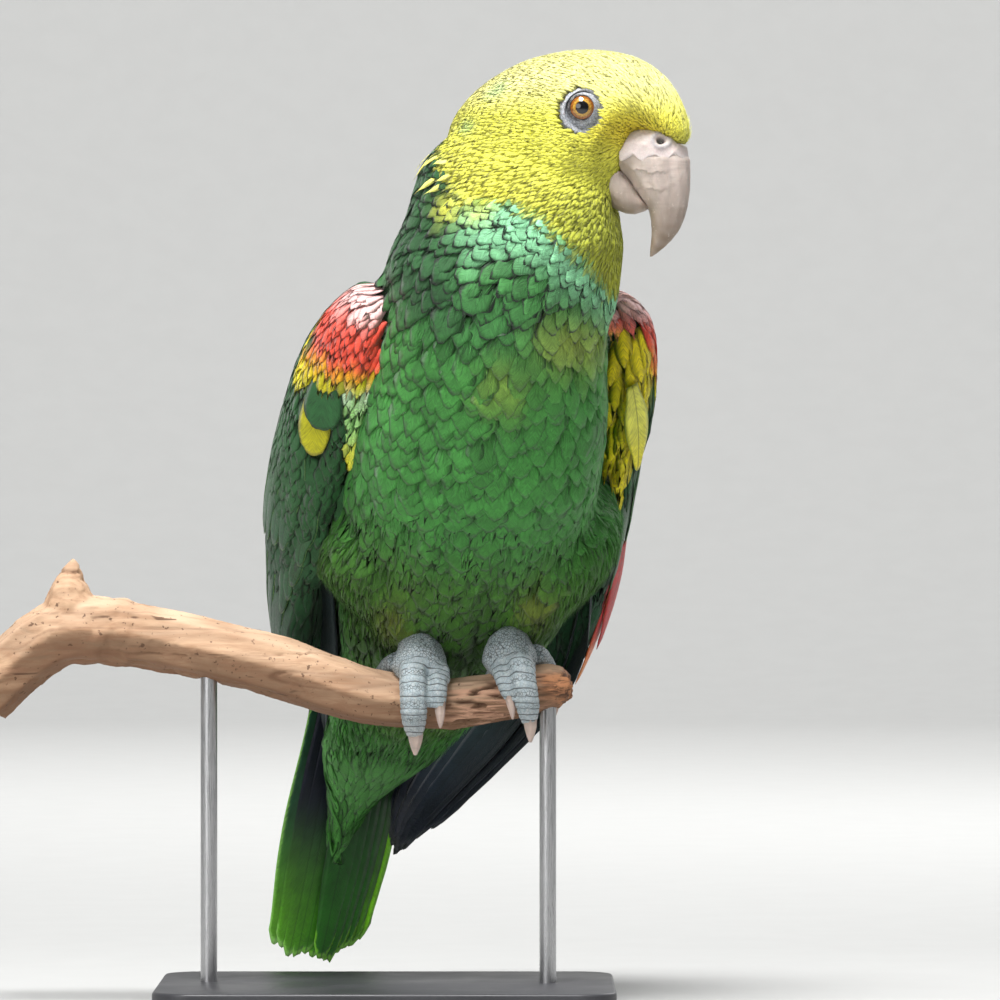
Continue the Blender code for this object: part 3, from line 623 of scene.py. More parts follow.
def plumage(points):
    """Colour of the plumage at each point, and the colour and strength of its feathers' edges."""
    head = head_mm(points)
    ahead, over, aside = head.T
    high, _, front = body_mm(points).T
    wander = ripple(points, 9)
    fine = ripple(points, 3.5, 2)
    above = hood_height(head) + 2.2 * wander + 1.5 * fine
    below = -above
    facing = step(ahead, -40, -22) * step(aside, -24, 4)
    green = blend("breast", "belly", step(-high + 6 * wander, 6, 42))
    rear = step(-front, -6, 10)
    upper = blend("back", "rump", step(-high, 70, 100))
    green = blend(green, upper, rear)
    neck = blend("nape", "neck", facing)
    green = blend(green, neck, step(high, 44, 70))
    scaly = facing * step(below, 0, 3) * (1 - step(below, 13, 27))
    green = blend(green, "turquoise", 0.9 * scaly)
    vent = step(-high, 72, 100) * (1 - rear)
    green = blend(green, "thigh", 0.7 * vent)
    for forward, up, radius, strength in STRAY_YELLOW:
        near = spot((ahead - forward) / radius, (over - up) / radius)
        green = blend(green, "cheek", strength * near * step(aside, -10, 5))
    for x, z in THIGH_YELLOW:
        near = spot((points[:, 0] / MM - x) / 6, (points[:, 2] / MM - z) / 8)
        # These patches take the chin's colour (painted shade on the chin) at under half its
        # brightness.
        green = blend(green, 0.45 * tone("chin"), 0.75 * near * (points[:, 1] < THIGH_DEPTH))
    hood = step(above, -1.2, 1.2)
    hue = blend(green, head_colours(head, fine), hood)
    hue = hue * (1 + 0.12 * wander * (1 - hood))[:, None]
    edge = blend("fringe", hue, hood)
    strength = (1 - hood) * clamp(0.22 + 0.7 * step(high, 45, 80) + 0.4 * rear)
    return clamp(hue), clamp(edge), clamp(strength)


def wing_markings(points):
    """Colours of the wings' small feathers: the bright bend, the pale front edge, dark coverts,
    and painted highlights of pale pink and white at the tops of the bend and the front edge.
    """
    up, right, front = body_mm(points).T
    out, left = np.abs(right), right < 0
    wander, fine = ripple(points, 6, 5), ripple(points, 2.5, 6)
    hue = blend("covert", "flight", step(-up, 20, 60))
    low = np.interp(front, (-27, -21, -14, -4, 0, 3), (34, 15, 19, 23, 25.5, 26))
    rise = up - low + 1.2 * wander
    red_from = np.interp(front, (-22, -10, 2), (17, 12, 5))
    streaks = ripple(points * (1, 1, 0.25), 2.0, 7)
    warm = blend("sun", "orange",
                 0.9 * step(rise + 4 * streaks, 0.35 * red_from, 0.8 * red_from))
    warm = blend(warm, "coral", step(rise + 4 * streaks, red_from - 2, red_from + 3))
    # Painted highlight: the top of the bend and its outermost part turn pale pink, where the top
    # light falls on the red.
    top = step(up + 3 * fine, 45, 54) + 0.7 * step(out, 64, 68) * step(up, 30, 40)
    warm = blend(warm, "highlight_pink", clamp(top))
    dark = np.hypot((front + 19.5) / 2.6, (up - 34) / 5)
    warm = blend(warm, "covert", 1 - step(dark, 0.8, 1.2))
    bright = step(rise, -0.6, 0.6) * step(front, -27, -24)
    reach = np.interp(up, (-24, -3, 6, 24), (50.5, 53.2, 55, 57.6))
    strip = ~left & (out < reach) & (front > -3) & (up > -22)
    pale = blend("pale", "sun", step(-up, -10, 4))
    # Painted highlight: the pale front edge turns whiter towards its top.
    pale = blend(pale, np.ones(3), 0.55 * step(up + 2 * fine, 19, 24))
    hue = blend(hue, pale, 0.95 * strip)
    hue = blend(hue, warm, bright)
    band_low = np.interp(out, (46, 57, 58.6, 60), (-34, -22, 6, 30))
    band = left & (up > band_low) & (front > -3) & (out < 59.5)
    red = up + 2.5 * fine - np.interp(out, (47, 56, 62), (45, 41, 30))
    gold = blend("sun", "coral", step(red, -1, 3))
    # Painted highlight: pale pink at the top of the left wing's band.
    gold = blend(gold, "highlight_pink", 0.8 * step(up, 47, 57))
    hue = blend(hue, gold, 0.95 * band)
    edge = blend("fringe", hue * 0.9, np.maximum(bright, band))
    strength = 0.6 * (1 - bright) * ~(band | strip)
    return clamp(hue * (1 + 0.08 * wander)[:, None]), clamp(edge), strength


# ---- Feather shapes ----
def arrays(shape):
    """Places and faces of a bmesh."""
    shape.verts.ensure_lookup_table()
    places = np.array([vert.co for vert in shape.verts])
    faces = np.array([[vert.index for vert in face.verts] for face in shape.faces])
    shape.free()
    return places, faces


class Vane:
    """A closed, cushioned vane: places across, along and through it, and its faces."""

    def __init__(self, across, along, root=0.3, tip=0.5, pull=0.15, belly=0.55):
        shape = bmesh.new()
        bmesh.ops.create_grid(shape, x_segments=across, y_segments=along, size=1)
        over = shape.faces[:]
        copy = bmesh.ops.duplicate(shape, geom=over)["geom"]
        under = [item for item in copy if isinstance(item, bmesh.types.BMFace)]
        bmesh.ops.reverse_faces(shape, faces=under)
        lower = {vert for face in under for vert in face.verts}
        for vert in shape.verts:
            inside = abs(vert.co.x) < 0.999 and abs(vert.co.y) < 0.999
            vert.co.z = (-1 if vert in lower else 1) * inside
        bmesh.ops.remove_doubles(shape, verts=shape.verts, dist=0.001)
        places, self.faces = arrays(shape)
        self.u, self.v, self.h = places[:, 0], (places[:, 1] + 1) / 2, places[:, 2]
        self.rim = (np.abs(self.h) < 0.5).astype(float)
        rise = root + (1 - root) * step(self.v, 0, belly)
        fall = 1 - (1 - tip) * step(self.v, belly, 1) ** 1.5
        self.profile = rise * fall
        self.along = self.v * (1 - pull * self.u ** 2 * self.v ** 3)


class Barb:
    """A thin three-sided strand that runs out to a point, for loose hair-like barbs."""

    def __init__(self):
        shape = bmesh.new()
        bmesh.ops.create_cone(shape, cap_ends=True, segments=3, radius1=1, radius2=0, depth=1)
        for height in (-0.15, 0.18):
            bmesh.ops.bisect_plane(shape, geom=shape.verts[:] + shape.edges[:] + shape.faces[:],
                                   plane_co=(0, 0, height), plane_no=(0, 0, 1))
        bmesh.ops.triangulate(shape, faces=shape.faces)
        places, self.faces = arrays(shape)
        self.u, self.v, self.h = places[:, 0], places[:, 2] + 0.5, places[:, 1]
        self.rim = np.zeros(len(places))
        self.profile = np.ones(len(places))
        self.along = self.v


VANE_SCALE = 20                    # millimetres of a feather in one turn of its own map


class Coat:
    """Feathers of one piece, gathered and then joined in one mesh."""

    def __init__(self, name):
        self.name = name
        self.parts = []
        self.count = 0

    def add(self, vane, lines, normals, width, thickness, camber, tint, edge, strength, roots,
            draws, fray, tips, lean=0.0, end=None):
        """Adds feathers of one shape, in metres.

        lines and normals hold a row of sections for each feather; the rest is one value for
        each, or one for all. The rim takes the edge colour by its strength; lean puts it on one
        side only, and end is the strength at the tip's rim. fray roughens the rim's outer half.
        """
        feathers, sections = lines.shape[:2]
        size = len(vane.u)
        width, thickness, strength, lean = (np.broadcast_to(value, feathers)[:, None]
                                            for value in (width, thickness, strength, lean))
        along = unit(np.gradient(lines, axis=1))
        normals = unit(flat_part(normals, along))
        place = np.clip(vane.along * (sections - 1), 0, sections - 1.0001)
        row = place.astype(int)
        share = (place - row)[None, :, None]

        def at(values):
            return values[:, row] * (1 - share) + values[:, row + 1] * share

        out = vane.u * vane.profile * width / 2
        rise = vane.h * thickness * 0.5 - camber * width * (vane.u * vane.profile) ** 2
        points = (at(lines) + at(np.cross(along, normals)) * out[..., None]
                  + at(normals) * rise[..., None])
        outer = step(vane.v, 0.35, 1)
        if fray:
            slip = draws.normal(0, fray, (feathers, size)) * vane.rim * outer
            points = points + at(along) * slip[..., None]
        lengths = np.linalg.norm(np.diff(lines, axis=1), axis=2).sum(axis=1)[:, None]
        vane_map = np.stack([out / MM / VANE_SCALE + 0.5,
                             lengths * vane.v / MM / VANE_SCALE], axis=2)
        vane_map[:, :, 1] += (np.arange(feathers) * 0.37 % 7)[:, None]
        corner = 0.0015 * np.column_stack([vane.u, 2 * vane.v - 1])
        patch = bake_place(roots)[:, None, :] + corner[None]
        strength = strength * (1 - np.abs(lean) * (1 - step(vane.u * lean, -0.2, 0.6)))
        if end is not None:
            strength = blend(strength[..., None], end, step(vane.v, 0.9, 0.97)[None])[..., 0]
        faces = vane.faces[None] + (np.arange(feathers) * size)[:, None, None]
        faces = faces.reshape(-1, faces.shape[2]) + self.count
        self.count += feathers * size
        tint, tips, edge = (np.repeat(values, size, axis=0) for values in (tint, tips, edge))
        self.parts.append((points.reshape(-1, 3), faces.ravel(),
                           np.full(len(faces), faces.shape[1]),
                           blend(tint, tips, np.tile(outer, feathers)), edge,
                           (vane.rim * strength).ravel(), vane_map.reshape(-1, 2),
                           patch.reshape(-1, 2)))

    def build(self, slot="green_feathers", kind="contour feathers", replaced=()):
        """Joins the feathers in one mesh, in the finish of their kind."""
        points, corners, sides, tint, edge, rim, vane_map, patch = (
            np.concatenate(column) for column in zip(*self.parts))
        mesh = bpy.data.meshes.new(self.name)
        mesh.vertices.add(len(points))
        mesh.vertices.foreach_set("co", points.ravel())
        mesh.loops.add(len(corners))
        mesh.loops.foreach_set("vertex_index", corners)
        mesh.polygons.add(len(sides))
        mesh.polygons.foreach_set("loop_start", np.cumsum(sides) - sides)
        mesh.update(calc_edges=True)
        for name, values in (("vane", vane_map), ("OFBake", patch)):
            layer = mesh.uv_layers.new(name=name)
            layer.data.foreach_set("uv", values[corners].astype(np.float32).ravel())
        set_attributes(mesh, tint=tint, edge=edge, rim=rim)
        add_piece(self.name, mesh, feathers(kind), slot, *replaced)


def lay(surface, roots, lengths, sections, draws, depth, lift, yaw, follow=0.35,
        direction=None):
    """Centre lines and normals of feathers laid over a surface from their roots.

    Also gives the share of each line before it crosses between body and wing.
    """
    places, normals, first = surface.nearest(roots)
    heading = flow(places) if direction is None else np.broadcast_to(direction, places.shape)
    heading = unit(flat_part(heading, normals))
    turn = draws.normal(0, yaw, len(roots))[:, None]
    heading = unit(heading * np.cos(turn) + np.cross(normals, heading) * np.sin(turn))
    lines, ups, crossed = [places], [normals], [surface.on_wing[first]]
    gap = (lengths / (sections - 1))[:, None]
    for _ in range(sections - 1):
        ahead = places + heading * gap
        places, normals, faces = surface.nearest(ahead)
        crossed.append(surface.on_wing[faces])
        lie = flow(places) if direction is None else np.broadcast_to(direction, places.shape)
        heading = unit(flat_part(heading + follow * flat_part(lie, normals), normals))
        lines.append(places)
        ups.append(normals)
    lines, ups = np.stack(lines, axis=1), np.stack(ups, axis=1)
    smooth = ups.copy()
    smooth[:, 1:-1] = ups[:, :-2] + 2 * ups[:, 1:-1] + ups[:, 2:]
    ups = unit(smooth)
    v = np.linspace(0, 1, sections)[None, :]
    depth = np.broadcast_to(depth, len(roots))[:, None]
    lift = np.broadcast_to(lift, len(roots))[:, None]
    height = -depth * (1 - v) ** 2.4 + lift * v ** 2
    strays = np.stack(crossed, axis=1) != crossed[0][:, None]
    reach = np.where(strays.any(axis=1), strays.argmax(axis=1) - 0.5, sections - 1)
    return lines + ups * height[..., None], ups, reach / (sections - 1)


# ---- Materials ----
class Finish:
    """A material's node tree, written as sums of sockets."""

    def __init__(self, name, roughness=0.5, specular=0.5, metallic=0.0, coat=0.0, sheen=0.0,
                 subsurface=0.0):
        self.material = bpy.data.materials.new(name)
        self.material.use_nodes = True
        self.tree = self.material.node_tree
        self.shader = self.tree.nodes["Principled BSDF"]
        self.set(self.shader, {"Roughness": roughness, "Specular IOR Level": specular,
                               "Metallic": metallic, "Coat Weight": coat,
                               "Sheen Weight": sheen})
        if subsurface:
            self.set(self.shader, {"Subsurface Weight": subsurface, "Subsurface Scale": 0.003})

    def set(self, node, values):
        """Gives sockets, by name or number, a value or another node's output."""
        for socket, value in values.items():
            if isinstance(value, bpy.types.NodeSocket):
                self.tree.links.new(value, node.inputs[socket])
            elif value is not None:
                node.inputs[socket].default_value = value

    def node(self, kind, out, values, **options):
        """Adds a node with its options and values, and gives one of its outputs."""
        made = self.tree.nodes.new("ShaderNode" + kind)
        for name, option in options.items():
            setattr(made, name, option)
        self.set(made, values)
        return made.outputs[out]

    def object_place(self, scale=(1, 1, 1)):
        place = self.node("TexCoord", "Object", {})
        return self.node("Mapping", 0, {"Vector": place, "Scale": scale})

    def attribute(self, name, out="Fac"):
        return self.node("Attribute", out, {}, attribute_name=name)

    def noise(self, vector, scale, detail=3.0, roughness=0.55, distortion=0.0):
        return self.node("TexNoise", "Fac", {
            "Vector": vector, "Scale": scale, "Detail": detail, "Roughness": roughness,
            "Distortion": distortion})

    def sum(self, operation, first, second=0.0):
        return self.node("Math", 0, {0: first, 1: second}, operation=operation)

    def times(self, first, second):
        return self.sum("MULTIPLY", first, second)

    def less(self, first, second):
        return self.sum("SUBTRACT", first, second)

    def fit(self, value, low, high, new_low=0.0, new_high=1.0):
        """Smooth change of range."""
        values = dict(enumerate((value, low, high, new_low, new_high)))
        return self.node("MapRange", 0, values, interpolation_type="SMOOTHSTEP")

    def mix(self, share, first, second, kind="MIX"):
        first, second = (value if isinstance(value, bpy.types.NodeSocket) else (*value, 1.0)
                         for value in (first, second))
        return self.node("Mix", 2, {0: share, 6: first, 7: second}, data_type="RGBA",
                         blend_type=kind, clamp_factor=True)

    def dimmed(self, first, second):
        return self.mix(1.0, first, second, "MULTIPLY")

    def bump(self, height, distance, strength=1.0, under=None):
        return self.node("Bump", 0, {"Height": height, "Distance": distance,
                                     "Strength": strength, "Normal": under})

    def wear(self, base, roughness=None, normal=None):
        self.set(self.shader, {"Base Color": base, "Roughness": roughness, "Normal": normal})
        return self.material


def feather_finish(name, barbs=1.0, roughness=0.6, contrast=0.45, specular=0.3,
                   rim_from=0.35, rim_to=0.75, shaft=0.0):
    """Barbs run out from the shaft towards the tip; the rim takes the edge colour."""
    f = Finish(name, roughness=roughness, specular=specular, sheen=0.12)
    vane = f.node("UVMap", 0, {}, uv_map="vane")
    across, along = (f.node("SeparateXYZ", axis, {0: vane}) for axis in (0, 1))
    side = f.sum("ABSOLUTE", f.less(across, 0.5))
    slant = f.less(along, f.times(side, 1.6))
    place = f.node("CombineXYZ", 0, {0: f.times(slant, 13.0 * barbs), 1: f.times(side, 4.0)})
    barb = f.noise(place, 2.2, detail=3.0, roughness=0.65)
    clump = f.noise(f.object_place(), 130.0, detail=2.0)
    frayed = f.sum("ADD", f.attribute("rim"), f.times(f.less(barb, 0.5), 0.9))
    shade = f.sum("ADD", f.fit(barb, 0.25, 0.75, 1 - contrast, 1 + 0.6 * contrast),
                  f.fit(clump, 0.3, 0.7, -0.12, 0.12))
    grey = f.node("CombineXYZ", 0, {0: shade, 1: shade, 2: shade})
    tint = f.attribute("tint", "Color")
    base = f.mix(f.fit(frayed, rim_from, rim_to), f.dimmed(tint, grey),
                 f.attribute("edge", "Color"))
    if shaft:
        line = f.fit(side, 0.006, 0.016, shaft, 0.0)
        base = f.mix(line, base, f.dimmed(tint, (0.35, 0.35, 0.35)))
    return f.wear(base, f.fit(barb, 0.2, 0.8, roughness - 0.12, roughness + 0.15),
                  f.bump(barb, 0.00035, 0.7))


def skin_finish():
    """Bare skin: small round scales, and on the toes broad plates with dark gaps."""
    f = Finish("bare skin", roughness=0.55, specular=0.35, subsurface=0.04)
    place = f.object_place()
    grain = f.node("TexVoronoi", "Distance", {"Vector": place, "Scale": 900.0},
                   feature="DISTANCE_TO_EDGE")
    fine = f.noise(place, 900.0)
    uneven = f.times(f.less(f.noise(place, 260.0), 0.5), 0.5)
    plate = f.sum("FRACT", f.sum("ADD", f.attribute("plate"), uneven))
    far = f.times(f.sum("ABSOLUTE", f.less(plate, 0.5)), 2.0)
    on_toe = f.attribute("on_toe")
    gap = f.times(f.fit(far, 0.68, 0.95), on_toe)
    pebble = f.times(f.fit(grain, 0.0, 0.16, 1.0, 0.0), f.less(1.0, f.times(on_toe, 0.6)))
    groove = f.sum("MAXIMUM", gap, f.times(pebble, f.attribute("scales")))
    tint = f.attribute("tint", "Color")
    base = f.mix(f.fit(fine, 0.35, 0.75, 0.0, 0.35), tint, (0.72, 0.72, 0.68))
    base = f.mix(f.fit(groove, 0.0, 1.0, 0.0, 0.85), base, f.dimmed(tint, (0.16, 0.14, 0.13)))
    return f.wear(base, None, f.bump(groove, 0.0006, -0.9))


def horn_finish(name, light, dark):
    """Layered horn: growth lines, small flakes and a browner worn tip (a vertex attribute, which
    on the lower bill also carries painted shade on its underside).
    """
    f = Finish(name, roughness=0.42, specular=0.45, subsurface=0.08)
    wisps = f.noise(f.object_place((1, 1, 0.35)), 220.0, detail=5.0, distortion=0.6)
    flakes = f.noise(f.object_place(), 700.0, detail=4.0)
    rows = f.noise(f.object_place((0.5, 0.5, 4.0)), 160.0, detail=3.0, distortion=0.8)
    base = f.mix(f.fit(wisps, 0.3, 0.72), light * 0.86, np.minimum(light * 1.18, 1))
    base = f.mix(f.fit(rows, 0.5, 0.75, 0, 0.22), base, light * 0.62)
    base = f.mix(f.attribute("tip"), base, dark)
    base = f.mix(f.fit(flakes, 0.62, 0.72, 0, 0.4), base, np.minimum(light * 1.35, 1))
    normal = f.bump(rows, 0.0003, 0.25, f.bump(flakes, 0.00015, 0.5))
    return f.wear(base, f.fit(wisps, 0.3, 0.7, 0.32, 0.55), normal)


def wood_finish():
    """Bare wood: long grain, cracks and specks, and where it is split or torn; with a painted
    highlight on its top and painted shade underneath and in its checks.
    """
    f = Finish("bare wood", roughness=0.72, specular=0.25)
    streaks = f.noise(f.object_place((0.12, 1, 1)), 420.0, 6.0, 0.65, 0.4)
    broad = f.noise(f.object_place((0.3, 1, 1)), 60.0, detail=3.0, distortion=1.0)
    specks = f.noise(f.object_place(), 520.0, detail=2.0)
    cracks = f.noise(f.object_place((0.08, 1, 1)), 240.0, detail=2.0, distortion=0.3)
    wood, dark = tone("wood"), tone("wood_dark")
    base = f.mix(f.fit(broad, 0.3, 0.7), wood * 0.7, np.minimum(wood * 1.35, 1))
    base = f.mix(f.fit(streaks, 0.35, 0.7, 0.0, 0.75), base, wood * (0.75, 0.62, 0.55))
    # Painted highlight: the top is paler.
    base = f.mix(f.fit(f.attribute("weather"), 0.0, 1.0), base,
                 np.minimum(wood * (1.5, 1.6, 1.75), 1))
    # Painted shade: a darker copy of the wood on the underside and in the checks.
    base = f.mix(f.times(f.attribute("shade"), 0.75), base,
                 f.mix(f.fit(streaks, 0.35, 0.65), wood * (0.42, 0.33, 0.28), dark * 2.2))
    base = f.mix(f.fit(specks, 0.64, 0.72, 0, 0.8), base, dark)
    base = f.mix(f.fit(cracks, 0.68, 0.74, 0, 0.85), base, dark)
    base = f.mix(f.times(f.attribute("split"), f.fit(streaks, 0.45, 0.6)), base,
                 (0.62, 0.36, 0.24))
    base = f.mix(f.times(f.attribute("torn"), 0.9), base, dark)
    base = f.mix(f.attribute("core"), base,
                 f.mix(f.fit(streaks, 0.4, 0.62), dark, (0.55, 0.25, 0.12)))
    normal = f.bump(streaks, 0.0006, 0.6, f.bump(cracks, 0.001, -0.6))
    return f.wear(base, f.fit(streaks, 0.3, 0.7, 0.6, 0.85), normal)


def eye_finish():
    """Dark pupil, golden then orange-brown iris and a dark rim, by angle from the eye's axis."""
    f = Finish("eye", roughness=0.06, specular=0.6, coat=0.6)
    angle, rays = f.attribute("gaze"), f.attribute("ray")
    fleck = f.noise(f.object_place(), 1500.0, detail=3.0)
    inner = f.mix(f.fit(fleck, 0.35, 0.7), (0.62, 0.36, 0.05), (0.30, 0.13, 0.015))
    outer = f.mix(f.fit(fleck, 0.35, 0.7), (0.36, 0.12, 0.012), (0.18, 0.05, 0.008))
    iris = f.mix(f.fit(f.sum("ADD", angle, f.times(rays, 1.6)), 29, 35), inner, outer)
    iris = f.mix(f.fit(angle, 40, 44), iris, (0.02, 0.012, 0.01))
    base = f.mix(f.fit(angle, 20.5, 22.0), (0.003, 0.003, 0.004), iris)
    return f.wear(base)


def paint_finish():
    f = Finish("stand paint", roughness=0.42, specular=0.4)
    peel = f.noise(f.object_place(), 900.0, detail=2.0)
    smudge = f.noise(f.object_place(), 24.0, detail=4.0)
    paint = tone("paint")
    base = f.mix(f.fit(smudge, 0.35, 0.7), paint * 0.9, paint * 1.2)
    return f.wear(base, f.fit(smudge, 0.3, 0.7, 0.36, 0.5), f.bump(peel, 0.0001, 0.35))


def steel_finish():
    f = Finish("stand steel", roughness=0.3, metallic=1.0)
    lines = f.noise(f.object_place((1, 1, 0.02)), 5000.0, detail=3.0)
    base = f.mix(f.fit(lines, 0.3, 0.7), (0.42, 0.42, 0.43), (0.60, 0.60, 0.61))
    return f.wear(base, f.fit(lines, 0.3, 0.7, 0.24, 0.38), f.bump(lines, 0.00004, 0.4))


def floor_finish():
    f = Finish("floor", roughness=0.85, specular=0.2)
    grain = f.noise(f.object_place(), 35.0, detail=4.0)
    pale = tone("floor")
    return f.wear(f.mix(f.fit(grain, 0.3, 0.7), pale * 0.99, pale * 1.01))


FINISHES = {}


def finish(name, make, *details, **settings):
    """One material of each name, made when it is first asked for."""
    if name not in FINISHES:
        FINISHES[name] = make(*details, **settings)
    return FINISHES[name]


FEATHER_FINISHES = {
    "contour feathers": {},
    "small head feathers": dict(roughness=0.75, contrast=0.22, specular=0.15),
    "tail feathers": dict(barbs=0.8, roughness=0.5, contrast=0.25, specular=0.4,
                          rim_from=0.32, rim_to=0.85, shaft=0.55),
    "flight feathers": dict(barbs=0.8, roughness=0.42, contrast=0.35, specular=0.45,
                            rim_from=0.62, rim_to=0.86, shaft=0.8),
}


def feathers(name):
    return finish(name, feather_finish, name, **FEATHER_FINISHES[name])


# ---- Skin ----
EYE_RADIUS = 6.2
LID_OPENING = 4.35                 # radius of the opening between the lids
ORBIT_WIDTH = 9.6                  # reach of the bare skin round the eye, over its middle
ORBIT_LEAD = 1.4                   # how far in front of the eye's middle
ORBIT_SINK = 1.4                   # how far under the eye's middle that skin is centred
LID_EDGE = (0.05, 0.045, 0.05)     # dark skin at the lids' edges
FOOT_TOP = 115                     # height over the floor from which the feet turn pinker


def eye_axis(side):
    return (SIDES[side] * HEAD_RIGHT + 0.16 * HEAD_FORWARD).normalized()


def orbit_distance(points):
    """Distance from the nearer eye's bare ring, measured across the side of the head (mm)."""
    ahead, over, aside = head_mm(points).T
    distance = np.hypot((ahead - EYE_FORWARD - ORBIT_LEAD) / 0.97, over - (EYE_UP - ORBIT_SINK))
    return np.where(np.abs(aside) > 10, distance, 99)


def lid_ring(side):
    """Bare skin round an eye: a rolled lid edge, folds round it, and an outer rim in the coat."""
    envelope_tree = envelope()[1].tree
    axis = eye_axis(side)
    centre = EYE_CENTRES[side]
    ahead = (HEAD_FORWARD - axis * HEAD_FORWARD.dot(axis)).normalized()
    rise = axis.cross(ahead)
    if rise.z < 0:
        rise = -rise
    shape = bmesh.new()
    profile = [(LID_OPENING - 0.25, -0.5), (LID_OPENING - 0.1, 0.25), (LID_OPENING + 0.15, 0.55)]
    reach = np.linspace(LID_OPENING + 0.5, ORBIT_WIDTH, 15)
    profile += [(radius, 0.45) for radius in reach]
    turned(shape, [(radius, 0, lift) for radius, lift in profile], 64)
    for vert in shape.verts:
        radius = math.hypot(vert.co.x, vert.co.y)
        turn = math.atan2(vert.co.y, vert.co.x)
        lift = vert.co.z
        share = float(step(radius, LID_OPENING + 0.4, ORBIT_WIDTH - 1.5))
        across = (ahead * (math.cos(turn) * radius + ORBIT_LEAD * share)
                  + rise * (math.sin(turn) * radius - ORBIT_SINK * share))
        ball = math.sqrt(max(EYE_RADIUS ** 2 - min(radius, EYE_RADIUS) ** 2, 0))
        start = centre + across * MM + axis * 30 * MM
        hit = envelope_tree.ray_cast(start, -axis)[0]
        flat = (hit - centre).dot(axis) / MM if hit else ball
        folds = 0.16 * math.sin(radius * 5.2 + 1.3 * math.sin(3 * turn) + 0.9 * math.sin(7 * turn))
        grain = noise.noise(Vector((math.cos(turn) * radius, math.sin(turn) * radius, 0)) * 1.9)
        sink = 1.15 * float(step(radius, ORBIT_WIDTH - 1.6, ORBIT_WIDTH))
        over = share * (flat - 0.35) + (1 - share) * (ball + lift)
        over += share * (1 - share) * 1.6 * 0.3
        if radius > LID_OPENING + 0.3:
            over += folds * min(1, share * 4 + 0.3) + 0.16 * grain
        vert.co = centre + (across + axis * (over - sink)) * MM
    bmesh.ops.recalc_face_normals(shape, faces=shape.faces)
    middle = sum((face.normal.dot(axis) for face in shape.faces), 0.0)
    if middle < 0:
        bmesh.ops.reverse_faces(shape, faces=shape.faces)
    return shape


def skin_colours(points, bare):
    """Colours of the skin: a darker copy of the plumage under it as painted shade between the
    feathers, round the eyes, and where bare is 1.
    """
    head = head_mm(points)
    # Painted shade: under the coat the skin is the plumage's colour at half its brightness, and
    # nearly full under the hood.
    under = plumage(points)[0] * (0.5 + 0.4 * step(hood_height(head), -2, 3))[:, None]
    near = 1 - step(orbit_distance(points), ORBIT_WIDTH - 0.8, ORBIT_WIDTH + 0.6)
    colours = blend(under, "orbit", near)
    rim = 1 - step(np.hypot(head[:, 0] - EYE_FORWARD, head[:, 1] - EYE_UP), 4.5, 5.3)
    colours = blend(colours, LID_EDGE, rim * near)
    foot = blend("foot", "foot_pink", 0.7 * step(FOOT_TOP - points[:, 2] / MM, 8, 30))
    return blend(colours, foot, bare)


def shrink(mesh, surface):
    """Moves the skin in by the coat's depth, but never past a third of the body's thickness."""
    points, normals = coordinates(mesh), vertex_normals(mesh)
    head = head_mm(points)
    on_head = step(hood_height(head), -8, 4)
    depth = sizes().coat_depth * (1 - on_head) + sizes().head_depth * on_head
    near_eye = 1 - step(orbit_distance(points), ORBIT_WIDTH - 3, ORBIT_WIDTH + 4)
    depth = depth * (1 - near_eye) + 2.2 * MM * near_eye
    limits = np.empty(len(points))
    for index, (point, normal) in enumerate(zip(points, normals)):
        start = Vector(point) - Vector(normal) * 0.05 * MM
        hit = surface.tree.ray_cast(start, -Vector(normal), 40 * MM)
        limits[index] = 0.33 * hit[3] if hit[0] is not None else 0.01
    depth = np.minimum(depth, limits)
    move_vertices(mesh, points - normals * depth[:, None])


PERCH_AXIS_HEIGHT = 110.5          # of the branch's axis under the feet, over the floor
TOE_ARC = 14                       # radius of the toes' curve over the branch
SCUTE = 2.1                        # length of one plate along a toe


def toe_distances(points, side):
    """Distance of each point from each toe's solid."""
    near = []
    for name in FEET[side][1:]:
        tree = point_tree(coordinates(NODES[name].data))
        near.append([tree.find(point)[2] for point in points])
    return np.array(near)


def foot_relief(points, near):
    """Count of plates from the foot's top along the toes, and how far a place is on a toe."""
    turn = np.arctan2(-points[:, 1] / MM, points[:, 2] / MM - PERCH_AXIS_HEIGHT)
    along = np.abs(turn) * TOE_ARC
    along = np.where(turn > 1.57, 1.57 * TOE_ARC + (PERCH_AXIS_HEIGHT - points[:, 2] / MM), along)
    on_toe = (1 - step(near, 1.2 * MM, 3.2 * MM)) * step(along, 6.0, 9.0)
    return along / SCUTE, on_toe


def along_claw(points, side, toe):
    """How far points lie along a claw's axis (mm), their way out from it, and the axis."""
    claw = coordinates(NODES["claw_%s_%s" % (side, toe)].data)
    knuckle = np.array(middle_of("toe_%s_%s" % (side, toe)))
    distance = np.linalg.norm(claw - knuckle, axis=1)
    root = claw[distance <= np.quantile(distance, 0.3)].mean(axis=0)
    tip = claw[distance >= np.quantile(distance, 0.9)].mean(axis=0)
    axis = unit(tip - root)
    run = (points - root) @ axis / MM
    return run, points - root - (run * MM)[:, None] * axis, axis


